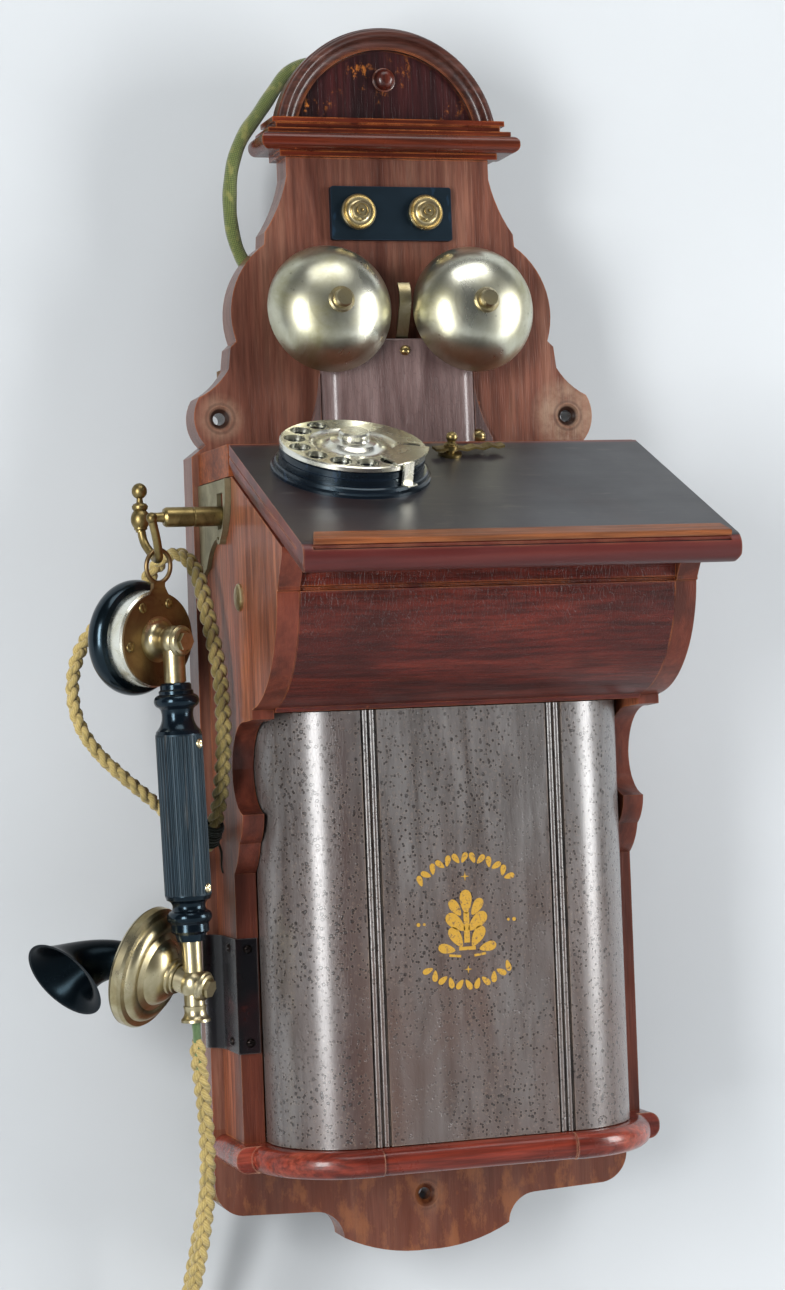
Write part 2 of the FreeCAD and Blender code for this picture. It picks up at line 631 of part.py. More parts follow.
def magneto_magnets():
    """Three horseshoe magnets standing over the armature."""
    yc = SHAFT_Y
    zc = -100.0
    outline = [(yc - 26, -155.2), (yc - 26, zc), ("arc", (yc, zc + 26), (yc + 26, zc)), (yc + 26, -155.2),
               (yc + 16, -155.2), (yc + 16, zc), ("arc", (yc, zc + 16), (yc - 16, zc)), (yc - 16, -155.2)]
    return [slab_yz(outline, x0, x0 + 19) for x0 in (-38, -17.5, 3)]


def magneto_armature():
    centre = Vector(0, SHAFT_Y, ARMATURE_Z)
    shaft = cyl(Vector(-52, centre.y, centre.z), X, 3.0, 102)
    core = cyl(Vector(-40, centre.y, centre.z), X, 13, 64)
    for side in (-1, 1):
        y0 = centre.y + side * 11.5
        core = core.cut(box(-41, 25, y0 - 6.5, y0 + 6.5, centre.z - 5, centre.z + 5))
    phase = math.pi / 2 + math.pi / PINION_TEETH
    pinion = gear(PINION_TEETH, GEAR_MODULE * PINION_TEETH / 2, 40, 49, centre, phase)
    return fuse([shaft, core, pinion])


def induction_coil():
    """Wound coil with square end cheeks, on the floor of the desk."""
    base = Vector(60, -60, -146)
    coil = cyl(base, X, 9, 32)
    cheeks = [box(58, 62, -70, -50, -158.2, -134), box(90, 94, -70, -50, -158.2, -134)]
    return fuse([coil] + cheeks)


def dry_cells():
    cells = []
    for side in (-1, 1):
        profile = [(0, 0), (31, 0), (31, 148), (29, 150), (4, 150), (4, 156), (0, 156)]
        cells.append(lathe(profile, Vector(side * 38, -72, SHELF_TOP + 0.2), Z))
    return cells


# Dial on the lid
def dial_local():
    return Vector(DIAL_X, -DIAL_DOWN, 0)


def dial_base():
    profile = [(0, 0.05), (43, 0.05), (43, 1.6), (42.2, 2.4), (41.4, 2.6), (41.2, 4.4), (40.4, 5), (0, 5)]
    return on_lid(lathe(profile, dial_local(), Z))


def dial_case():
    profile = [(0, 5.05), (39, 5.05), (39, 8.6), (38.5, 8.8), (38.5, 9.2), (39, 9.4), (39, 12.2),
               (38.2, 13),
               (20, 13), (18, 11.4), (0, 11.4)]
    case = lathe(profile, dial_local(), Z)
    return on_lid(case.cut(cyl(dial_local() + Z * 8, Z, 4.05, 10)))


def dial_wheel():
    """Finger wheel with ten holes, a dished centre, a hub and its cap."""
    profile = [(0, 8.2), (4, 8.2), (4, 12.6), (17, 12.6), (21, 13.4), (39.3, 13.4), (39.3, 15.6),
               (38.6, 16.2),
               (24, 16.2), (22.6, 15.4), ("arc", (18, 14.9), (12.5, 17.6)), (8.8, 18.6), (8.3, 19.4),
               (8.3, 22),
               (7.4, 23), (0, 23)]
    wheel = lathe(profile, dial_local(), Z)
    for number in range(10):
        angle = math.radians(112 + 26 * number)
        hole = dial_local() + Vector(31.2 * math.cos(angle), 31.2 * math.sin(angle), 0)
        wheel = wheel.cut(cyl(hole, Z, 5.9, 30))
    return on_lid(wheel)


def dial_stop():
    """Finger stop: a plate over the rim, bent down the side to a foot on the lid."""
    centre = dial_local()
    start = math.radians(-71)
    end = math.radians(-16)
    mid = (start + end) / 2
    strap_at = math.radians(-60)

    def at(r, angle, z):
        return (centre.x + r * math.cos(angle), centre.y + r * math.sin(angle), z)

    plate = face_of([at(24, start, 16.6), at(40.4, start, 16.6), ("arc", at(40.4, mid, 16.6),
                                                                  at(40.4, end, 16.6)),
                     at(24, end, 16.6)], lambda p: Vector(*p)).extrude(Vector(0, 0, 0.9))
    strap = box(39.7, 41.2, -3.6, 3.6, 5.4, 17.2)
    foot = box(39.7, 44.6, -3.6, 3.6, 5.1, 6.0)
    strap = strap.fuse(foot)
    strap.rotate(Vector(0, 0, 0), Z, math.degrees(strap_at))
    strap.translate(centre)
    return on_lid(fuse([plate, strap]))


# Paper clip on the lid
def clip_base():
    profile = [(0, 0.05), (6.5, 0.05), (6.5, 1.4), (2.6, 1.8), (2.6, 3.2), (1.9, 3.2), (1.9, 10.5),
               (0, 10.5)]
    return on_lid(lathe(profile, Vector(0.9, -22.8, 0), Z))


def clip_arm():
    """Turning arm held under a ball knob."""
    here = Vector(0.9, -22.8, 0)
    arm = slab_xz([(-10, 3.4), (4, 3.4), (9, 2.4), (14, 3.6), (19, 2.4), (24, 4.0), (28, 2.8), (32, 3.4),
                   (32, 4.7), (28, 4.1), (24, 5.3), (19, 3.7), (14, 4.9), (9, 3.7), (4, 4.7),
                   (-10, 4.7)], -2.9, 2.9)
    hub = cyl(Vector(0, 0, 3.4), Z, 4.0, 2.6)
    body = arm.fuse(hub)
    body.rotate(Vector(0, 0, 0), Z, 8)
    knob = lathe([(0, 5.8), (2.8, 5.8), (2.8, 6.8), (2.2, 7.4), (2.2, 8.2), ("arc", (3.1, 10.9),
                                                                             (0.5, 13.2)),
                  (0, 13.2)])
    body = fuse([body, knob]).cut(cyl(Vector(0, 0, 0), Z, 1.96, 10.8))
    body.translate(here)
    return on_lid(body)


# Handset
def handle_axis():
    return (LOWER_T - UPPER_T).normalize()


def from_upper(s):
    return UPPER_T + handle_axis() * s


def hanger_plate():
    """Round brass plate with a neck and an eye that hangs on the hook."""
    a = RECEIVER_AXIS
    centre = UPPER_T + a * 11.4
    plate = cyl(centre, a, 25.3, 1.4)
    offset = (RING_C - UPPER_T).dot(a)
    eye = Part.makeTorus(8.85, 1.25, RING_C, a)
    side = Z.cross(a).normalize()
    up = a.cross(side).normalize()
    neck_low = centre + up * 21
    points = []
    for across, height in ((-9, 0), (-4.4, 7.4), (4.4, 7.4), (9, 0)):
        points.append(neck_low + side * across + up * height)
    points.append(points[0])
    neck = Part.Face(Part.makePolygon(points)).extrude(a * 1.4)
    gap = 11.4 - offset
    link_base = RING_C - up * 8.85 - side * 4.2 - a * 1.2
    link = Part.Face(Part.makePolygon([link_base, link_base + side * 8.4,
                                       link_base + side * 8.4 + a * (gap + 2.6),
                                       link_base + a * (gap + 2.6), link_base])).extrude(up * -3.4)
    return fuse([plate, neck, eye, link])


def receiver_case():
    a = RECEIVER_AXIS
    profile = [(0, 12.9), (25.2, 12.9), (26.2, 14), (26.2, 23.6), (24.6, 23.6), (24.6, 14.6), (0, 14.6)]
    return lathe(profile, UPPER_T, a)


def receiver_cap():
    """Ebonite ear cap with its sound hollow."""
    a = RECEIVER_AXIS
    profile = [(26.3, 23.8), (29.4, 24.2), ("arc", (31.6, 29.5), (29.6, 35)), ("arc", (26, 37.6),
                                                                               (21, 37.9)),
               ("arc", (11, 34.2), (4, 30.6)), (4, 27.6), (20, 27.6), (22, 25), (22, 23.8)]
    return lathe(profile, UPPER_T, a)


def receiver_unit():
    """Magnet cup and diaphragm inside the receiver."""
    a = RECEIVER_AXIS
    return lathe([(0, 14.9), (20, 14.9), (20, 22.6), (24.2, 22.9), (24.2, 23.5), (0, 23.5)], UPPER_T, a)


def hex_nut(base, axis, width, h):
    """Hexagonal nut standing on base."""
    side = Z.cross(axis).normalize()
    up = axis.cross(side).normalize()
    points = []
    for i in range(7):
        angle = math.pi / 3 * i
        points.append(base + side * (width / math.sqrt(3) * math.cos(angle))
                      + up * (width / math.sqrt(3) * math.sin(angle)))
    return Part.Face(Part.makePolygon(points)).extrude(axis * h)


def handset_stem():
    """Upper tee: ball, cap and nut to the front, boss to the plate, and the rod down through the handle."""
    a = RECEIVER_AXIS
    ball = Part.makeSphere(8.0, UPPER_T)
    boss = lathe([(0, 0), (7.2, 0), (7.2, 7), ("arc", (8.6, 10), (12.5, 11.3)), (0, 11.3)], UPPER_T, a)
    cap = lathe(CAP_PROFILE, UPPER_T, a * -1)
    nut = hex_nut(UPPER_T - a * 8.2, a * -1, 8.8, 3.0)
    stem = lathe([(0, 0), (5.9, 0), (5.9, 22.6), (0, 22.6)], UPPER_T, handle_axis())
    rod = lathe([(0, 22), (5.1, 22), (5.1, 161.9), (0, 161.9)], UPPER_T, handle_axis())
    return fuse([ball, boss, cap, nut, stem, rod])


def handset_grip():
    """One-piece turned handle with collars, waists and a reeded grip."""
    grip_r = 12.6
    outer = [(5.2, 22.9), (7.6, 22.9), (8.4, 24), (8.4, 26.4), (9.4, 27.2), (9.4, 29),
             ("arc", (12.3, 32.4), (10, 36)),
             (9, 37), ("arc", (8.9, 43.5), (12, 48.6)), (grip_r, 50.6), (grip_r, 137.2), (11.8, 139.4),
             ("arc", (8.9, 142.6), (9.6, 145.2)), ("arc", (12.2, 148.9), (10.8, 151.6)), (10.2, 152.4),
             (10.4, 156.4), (8.4, 158), (7.4, 161.8), (5.2, 161.8)]
    body = lathe(outer + [(5.2, 22.9)], UPPER_T, handle_axis())
    d = handle_axis()
    side = Y.cross(d).normalize()
    front = d.cross(side).normalize()
    for i in range(40):
        angle = 2 * math.pi * i / 40
        at = from_upper(51.6) + (side * math.cos(angle) + front * math.sin(angle)) * (grip_r + 0.45)
        body = body.cut(cyl(at, d, 0.8, 85))
    return body


def handset_neck():
    """Lower tee: neck up to the handle, ball, cap, nut and the outlet below."""
    b = MOUTHPIECE_AXIS
    d = handle_axis()
    neck = lathe([(0, 0), (5.3, 0), (5.3, 22.5), (0, 22.5)], LOWER_T, d * -1)
    ball = Part.makeSphere(8.2, LOWER_T)
    boss = lathe([(0, 0), (7.4, 0), (7.4, 9), (0, 9)], LOWER_T, b)
    cap = lathe(CAP_PROFILE, LOWER_T, b * -1)
    nut = hex_nut(LOWER_T - b * 8.2, b * -1, 8.8, 3.2)
    outlet = lathe([(0, 0), (5.6, 0), (5.6, 11.8), (0, 11.8)], LOWER_T, d)
    outlet = outlet.cut(cyl(LOWER_T + d * 9, d, 4.0, 6))
    return fuse([neck, ball, boss, cap, nut]).fuse(outlet).removeSplitter()


def cord_ferrule():
    profile = [(4.6, 12), (6.3, 12), (6.1, 13.2), ("arc", (6.1, 16.4), (7.9, 19.2)), (8, 20.6),
               (4.6, 20.6)]
    return lathe(profile, LOWER_T, handle_axis())


def transmitter_case():
    """Stepped bell from the tee out to the rim."""
    b = MOUTHPIECE_AXIS
    profile = [(0, 9.2), (8.6, 9.2), (8.6, 10.6), (10, 11.2), (10, 13), ("arc", (14, 15), (18.6, 20)),
               (22, 21.6), ("arc", (27.5, 22.6), (29.4, 25.2)), (32.2, 25.8), (33.4, 27.4), (33.4, 31.6),
               (31.4, 31.6), (31.4, 28.4), (20, 26.4), ("arc", (12, 19), (8, 15)), (0, 13)]
    return lathe(profile, LOWER_T, b)


def transmitter_capsule():
    """Carbon capsule and diaphragm inside the bell."""
    b = MOUTHPIECE_AXIS
    return lathe([(0, 21), (11.5, 21), (11.5, 27.6), (30.4, 29.2), (30.4, 30.2), (0, 30.2)], LOWER_T, b)


def transmitter_front():
    b = MOUTHPIECE_AXIS
    return lathe([(5, 30.9), (31.2, 30.9), (31.2, 31.8), (33.4, 31.9), (32.2, 33.4), (10.5, 36.4),
                  (10.5, 38), (5, 38)],
                 LOWER_T, b)


def horn():
    """Curved mouthpiece: a tube that bends down and opens into a flared mouth."""
    b = MOUTHPIECE_AXIS
    m = MOUTH_NORMAL
    root = LOWER_T + b * 38.1
    leg = 26.4
    corner = root + b * leg
    end = corner + m * leg
    turn = b.getAngle(m)
    radius = leg / math.tan(turn / 2)
    inward = ((root - corner).normalize() + (end - corner).normalize()).normalize()
    centre = corner + inward * (radius / math.cos(turn / 2))
    sections = [(0.0, 9.8), (0.22, 10.2), (0.45, 11.6), (0.65, 13.8), (0.82, 17), (0.93, 20.4),
                (1.0, 24.6)]

    def loft(shrink):
        wires = []
        for part, r in sections:
            spin = FreeCAD.Rotation(b.cross(m), math.degrees(turn) * part)
            at = centre + spin.multVec(root - centre)
            along = spin.multVec(b)
            wires.append(Part.Wire(Part.Circle(at, along, r - shrink).toShape()))
        return Part.makeLoft(wires, True, False)

    body = loft(0.0)
    bore = loft(1.6)
    return body.cut(bore)


def guard_plate():
    """Thin dark plate round the left panel's lower front corner, bulging back over the board's margin."""
    z0 = -353.5
    z1 = -290.0
    plan = [(-106, -73), (-106, -74.4), (-118.4, -74.4), (-118.4, -46), ("arc", (-121.6, -38),
                                                                         (-127, -33.4)),
            (-126, -32.2), ("arc", (-120.2, -37.4), (-117.1, -46)), (-117.1, -73)]
    return slab_xy(plan, z0, z1)


def case_screws():
    """Round-headed wood screws that show on the case, all of one pattern."""
    heads = [(Vector(2, COVER_FACE_Y, 37), -Y, 3.0, 2.2, 2.5), (Vector(48, BOARD_FRONT - 3, -12), -Y,
                                                                4.5, 2.6),
             (Vector(-111.5, -74.4, -296), -Y, 2.6, 1.6), (Vector(-111.5, -74.4, -347.5), -Y, 2.6, 1.6),
             (Vector(-118.4, -60, -296), -X, 2.6, 1.6), (Vector(-118.4, -60, -347.5), -X, 2.6, 1.6)]
    return [screw_head(*item) for item in heads]


# Cords: routes chosen point by point, from where each leaves the object
HANDSET_ROUTE = [(-148, -99.5, -330.6), (-147.2, -99.3, -351), (-144.4, -95, -371),
                 (-141.8, -90, -393), (-140.8, -85, -418), (-142.2, -79, -444), (-146, -72, -470),
                 (-150, -65, -496), (-152.8, -60, -519), (-152.4, -56, -541), (-148.5, -47.8, -557),
                 (-143.5, -34, -563.5), (-141.5, -18, -557), (-140.6, -9.2, -542), (-140, -7.2, -519),
                 (-135.6, -6.8, -494), (-129, -6.8, -466), (-122.2, -6.6, -436), (-117.4, -6.3, -398),
                 (-115.2, -6, -356), (-114.8, -5.4, -322), (-119.5, -5.2, -298), (-129.5, -7, -279),
                 (-136.6, -20, -264), (-136.8, -40, -252.5), (-131.6, -60, -243), (-128.8, -75, -231),
                 (-126.6, -85.5, -213), (-125.3, -90.6, -191), (-124.6, -91.5, -169),
                 (-125, -90.5, -148), (-127.3, -88, -129), (-129.6, -84, -112), (-130.8, -78.5, -97),
                 (-132.6, -70.5, -84.5), (-137.2, -61.5, -77), (-143.5, -53, -77),
                 (-149.3, -46.3, -84.2), (-156, -42, -94.5), (-165.5, -40, -104),
                 (-177.5, -41.5, -112), (-189, -46, -120.5), (-197.5, -51.5, -135),
                 (-200.8, -55.5, -153), (-197.5, -59, -171), (-188, -61.5, -186),
                 (-174.5, -61.5, -199), (-160.5, -57.5, -210.5), (-148, -48, -220.5),
                 (-142, -33, -227.5), (-137, -18.5, -233), (-129.5, -8.2, -236.8), (-119, -5.3, -239),
                 (-108.5, -5.6, -239.8), (-98.5, -6, -240)]
LINE_ROUTE = [(-9, -6, 152), (-8.7, -6.1, 170), (-9.3, -6.15, 188), (-15.5, -6.3, 200.5),
              (-26.9, -6.6, 207.7), (-40.4, -7.1, 208.4), (-52.5, -8, 202.3), (-61.5, -9.5, 190),
              (-70.8, -11.2, 177), (-81, -12.9, 164.5), (-88, -14.5, 148.5), (-90.6, -15, 131),
              (-90, -13.2, 114), (-86, -9.6, 99.5), (-78.5, -6.4, 87.5), (-68.5, -6, 79)]


def save(name, shapes):
    if not isinstance(shapes, list):
        shapes = [shapes]
    solids = [solid for shape in shapes for solid in shape.Solids]
    compound = solids[0] if len(solids) == 1 else Part.makeCompound(solids)
    compound.exportStep("parts/" + name + ".step")


NODES = {
    "back_board": back_board, "rear_battens": rear_battens, "cornice": cornice,
    "pediment_arch": pediment_arch,
    "pediment_panel": pediment_panel, "pediment_button": pediment_button,
    "terminal_plate": terminal_plate,
    "terminal_nuts": terminal_nuts, "gongs": gongs, "gong_nuts": gong_nuts, "ringer_frame": ringer_frame,
    "ringer_coils": ringer_coils, "clapper": clapper, "ringer_cover": ringer_cover,
    "cover_wings": cover_wings, "left_side_panel": lambda: side_panel(-1),
    "right_side_panel": lambda: side_panel(1),
    "top_rail": top_rail, "desk_front_panel": desk_front_panel, "case_floor": case_floor,
    "bottom_shelf": bottom_shelf, "battery_door": battery_door, "desk_lid": desk_lid, "lid_lip": lid_lip,
    "lid_hinges": lid_hinges, "hook_plate": hook_plate, "hook_bracket": hook_bracket,
    "switch_hook": switch_hook,
    "case_bushings": case_bushings, "drive_gear": drive_gear,
    "crank_shaft": crank_shaft, "crank_arm": crank_arm, "crank_knob": crank_knob,
    "magneto_frame": magneto_frame,
    "magneto_magnets": magneto_magnets, "magneto_armature": magneto_armature,
    "induction_coil": induction_coil,
    "dry_cells": dry_cells, "dial_base": dial_base, "dial_case": dial_case, "dial_wheel": dial_wheel,
    "dial_stop": dial_stop, "clip_base": clip_base, "clip_arm": clip_arm, "hanger_plate": hanger_plate,
    "receiver_case": receiver_case, "receiver_unit": receiver_unit, "receiver_cap": receiver_cap,
    "handset_stem": handset_stem,
    "handset_grip": handset_grip, "handset_neck": handset_neck, "cord_ferrule": cord_ferrule,
    "transmitter_case": transmitter_case, "transmitter_capsule": transmitter_capsule,
    "transmitter_front": transmitter_front, "horn": horn,
    "guard_plate": guard_plate, "case_screws": case_screws,
    "handset_cord": lambda: tube(HANDSET_ROUTE, CORD_R),
    "line_cord": lambda: tube(LINE_ROUTE, LINE_CORD_R),
}

os.makedirs("parts", exist_ok=True)
for node_name, make in NODES.items():
    save(node_name, make())
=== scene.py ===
import bpy
import math
from mathutils import Matrix, Vector


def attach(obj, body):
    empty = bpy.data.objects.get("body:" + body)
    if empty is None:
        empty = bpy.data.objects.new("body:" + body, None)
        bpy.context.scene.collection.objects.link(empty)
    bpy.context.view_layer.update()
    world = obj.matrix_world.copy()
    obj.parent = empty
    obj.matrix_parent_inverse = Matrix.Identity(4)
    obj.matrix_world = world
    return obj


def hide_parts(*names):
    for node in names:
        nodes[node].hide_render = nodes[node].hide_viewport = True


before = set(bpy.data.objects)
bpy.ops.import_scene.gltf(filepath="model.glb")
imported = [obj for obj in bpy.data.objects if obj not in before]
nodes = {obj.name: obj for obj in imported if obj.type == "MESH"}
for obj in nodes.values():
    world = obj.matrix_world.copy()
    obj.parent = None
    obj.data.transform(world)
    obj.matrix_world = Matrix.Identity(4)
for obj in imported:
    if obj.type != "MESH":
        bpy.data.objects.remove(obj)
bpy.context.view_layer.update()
scene = bpy.context.scene

# Places on the telephone, in metres
EAR_X = 0.105
FOOT_HOLE_Z = -0.447
BEADS_X = 0.053
BEADS_HALF = 0.0048
DOOR_FACE_Y = -0.1255
LID_TILT = math.radians(24)
LID_BACK_Y = -0.1040
UPPER_TEE = Vector((-0.153, -0.0995, -0.1254))
LOWER_TEE = Vector((-0.1485, -0.0995, -0.3099))
RECEIVER_AXIS = Vector((-0.505, 0.859, 0.085)).normalized()


# Camera
def make_camera():
    """Long lens a little to the left of the telephone, turned by yaw, pitch and roll in radians."""
    place = (-0.51197, -1.62704, -0.14902)
    yaw, pitch, roll = 0.3060, -0.0107, -0.0374
    forward = Vector((math.sin(yaw) * math.cos(pitch), math.cos(yaw) * math.cos(pitch), -math.sin(pitch)))
    right = Vector((math.cos(yaw), -math.sin(yaw), 0))
    up = right.cross(forward)
    across = right * math.cos(roll) + up * math.sin(roll)
    upward = up * math.cos(roll) - right * math.sin(roll)
    data = bpy.data.cameras.new("camera")
    data.lens = 81.24
    data.sensor_width = 36
    data.clip_start = 0.05
    camera = bpy.data.objects.new("camera", data)
    turn = Matrix((across, upward, -forward)).transposed().to_4x4()
    camera.matrix_world = Matrix.Translation(place) @ turn
    scene.collection.objects.link(camera)
    scene.camera = camera


make_camera()


# Helpers for colours and materials
def srgb(r, g, b):
    """Linear colour of an sRGB one given in steps of 1/255."""
    shares = [c / 255 for c in (r, g, b)]
    return tuple(c / 12.92 if c < 11 / 255 else ((c + 0.055) / 1.055) ** 2.4 for c in shares) + (1,)


def shade(colour, share):
    """An sRGB colour made darker or lighter by the share, kept within 255, as a linear one."""
    return srgb(*[min(255, c * share) for c in colour])


class Paint:
    """One material, with short calls for the nodes that it uses."""

    def __init__(self, name, roughness=0.5, metallic=0.0, coat=0.0, coat_roughness=0.1, sheen=0.0,
                 specular=0.5):
        self.material = bpy.data.materials.new(name)
        self.material.use_nodes = True
        self.tree = self.material.node_tree
        self.shader = self.tree.nodes["Principled BSDF"]
        for key, value in (("Roughness", roughness), ("Metallic", metallic), ("Coat Weight", coat),
                           ("Coat Roughness", coat_roughness), ("Sheen Weight", sheen),
                           ("Specular IOR Level", specular)):
            self.shader.inputs[key].default_value = value
        where = self.add("ShaderNodeTexCoord")
        self.place = where.outputs["Object"]
        self.facing = where.outputs["Normal"]

    def add(self, kind, **settings):
        """A new node of the kind, with its settings."""
        node = self.tree.nodes.new(kind)
        for key, value in settings.items():
            setattr(node, key, value)
        return node

    def feed(self, socket, value):
        """Links the socket to a node's output, or sets it to a plain value."""
        if isinstance(value, bpy.types.NodeSocket):
            self.tree.links.new(value, socket)
        else:
            socket.default_value = value

    def stretch(self, x, y, z, turn=(0, 0, 0)):
        """Object coordinates scaled, and turned if asked, so that a pattern is drawn out along an axis."""
        node = self.add("ShaderNodeMapping")
        node.inputs["Scale"].default_value = (x, y, z)
        node.inputs["Rotation"].default_value = turn
        self.feed(node.inputs["Vector"], self.place)
        return node.outputs[0]

    def noise(self, scale, where=None, detail=4.0, roughness=0.55, warp=0.0):
        """Cloudy noise from 0 to 1."""
        node = self.add("ShaderNodeTexNoise")
        self.feed(node.inputs["Vector"], where or self.place)
        for key, value in (("Scale", scale), ("Detail", detail), ("Roughness", roughness),
                           ("Distortion", warp)):
            node.inputs[key].default_value = value
        return node.outputs["Fac"]

    def cells(self, scale, where=None, feature="F1", out="Distance"):
        """Scattered cells: distance to the nearest centre or edge, or a colour for each."""
        node = self.add("ShaderNodeTexVoronoi", feature=feature)
        self.feed(node.inputs["Vector"], where or self.place)
        node.inputs["Scale"].default_value = scale
        node.inputs["Randomness"].default_value = 1.0
        return node.outputs[out]

    def ramp(self, value, *stops):
        """The value turned into a colour or a grey by stops, each (place, colour or number)."""
        node = self.add("ShaderNodeValToRGB")
        self.feed(node.inputs[0], value)
        points = node.color_ramp.elements
        while len(points) < len(stops):
            points.new(0.5)
        for point, (at, colour) in zip(points, stops):
            point.position = at
            point.color = colour if isinstance(colour, tuple) else (colour, colour, colour, 1)
        return node.outputs[0]

    def mix(self, share, a, b):
        """Colour a, with its share replaced by colour b."""
        node = self.add("ShaderNodeMix", data_type="RGBA", blend_type="MIX")
        self.feed(node.inputs[0], share)
        self.feed(node.inputs[6], a)
        self.feed(node.inputs[7], b)
        return node.outputs[2]

    def calc(self, kind, a, b=0.5):
        """One sum on numbers; MULTIPLY_ADD adds 0.5, and the kinds with one number leave b out."""
        node = self.add("ShaderNodeMath", operation=kind)
        self.feed(node.inputs[0], a)
        self.feed(node.inputs[1], b)
        return node.outputs[0]

    def axis(self, name, where=None):
        """One coordinate of the place, or of the vector given."""
        node = self.add("ShaderNodeSeparateXYZ")
        self.feed(node.inputs[0], where or self.place)
        return node.outputs[name]

    def edges(self, radius):
        """Near 1 where the surface turns sharply within the radius, and 0 on the flat."""
        soft = self.add("ShaderNodeBevel", samples=4)
        soft.inputs["Radius"].default_value = radius
        plain = self.add("ShaderNodeNewGeometry")
        dot = self.add("ShaderNodeVectorMath", operation="DOT_PRODUCT")
        self.feed(dot.inputs[0], soft.outputs[0])
        self.feed(dot.inputs[1], plain.outputs["Normal"])
        return self.ramp(dot.outputs["Value"], (0.80, 1.0), (0.985, 0.0))

    def bump(self, height, depth, strength=1.0, after=None):
        """Normal for a height pattern, laid over an earlier one if given."""
        node = self.add("ShaderNodeBump")
        node.inputs["Strength"].default_value = strength
        node.inputs["Distance"].default_value = depth
        self.feed(node.inputs["Height"], height)
        if after is not None:
            self.feed(node.inputs["Normal"], after)
        return node.outputs[0]

    def finish(self, colour=None, roughness=None, normal=None, metallic=None):
        """Feeds the shader and gives the material."""
        for key, value in (("Base Color", colour), ("Roughness", roughness), ("Normal", normal),
                           ("Metallic", metallic)):
            if value is not None:
                self.feed(self.shader.inputs[key], value)
        return self.material


# Wood
def spot(p, x, z, inner, outer):
    """1 within the inner radius of a point on the board's face, fading to 0 at the outer one."""
    node = p.add("ShaderNodeVectorMath", operation="DISTANCE")
    p.feed(node.inputs[0], p.stretch(1, 0, 1))
    node.inputs[1].default_value = (x, 0, z)
    share = p.add("ShaderNodeMapRange")
    p.feed(share.inputs[0], node.outputs["Value"])
    for key, value in (("From Min", inner), ("From Max", outer), ("To Min", 1.0), ("To Max", 0.0)):
        share.inputs[key].default_value = value
    return share.outputs[0]


def board_marks(p, colour):
    """Pale rubbed patch and washer ring at each screw hole, widest at the right ear, and a scuffed foot."""
    rough = p.noise(130, detail=5, roughness=0.7)
    for x, z, reach, share in ((EAR_X, 0.0, 0.024, 0.6), (-EAR_X, 0.0, 0.015, 0.35),
                               (0.0, FOOT_HOLE_Z, 0.013, 0.35)):
        patch = p.calc("MULTIPLY", spot(p, x, z, reach * 0.6, reach), p.ramp(rough, (0.3, 0.2), (0.6, 1.0)))
        colour = p.mix(p.calc("MULTIPLY", patch, share), colour, srgb(156, 132, 112))
        ring = p.calc("SUBTRACT", spot(p, x, z, 0.0085, 0.0095), spot(p, x, z, 0.0070, 0.0080))
        colour = p.mix(p.calc("MULTIPLY", ring, 0.5), colour, srgb(70, 50, 42))
        colour = p.mix(spot(p, x, z, 0.0052, 0.0062), colour, srgb(44, 28, 22))
    low = p.calc("LESS_THAN", p.axis("Z"), -0.400)
    chips = p.ramp(p.noise(90, p.stretch(1, 1, 0.45), detail=6, roughness=0.7), (0.5, 0.0), (0.62, 1.0))
    stain = p.ramp(p.noise(38, p.stretch(1, 1, 0.3), detail=5), (0.35, 0.9), (0.65, 0.35))
    colour = p.mix(p.calc("MULTIPLY", low, stain), colour, srgb(92, 42, 20))
    colour = p.mix(p.calc("MULTIPLY", p.calc("MULTIPLY", low, chips), 0.3), colour, srgb(170, 108, 62))
    return colour


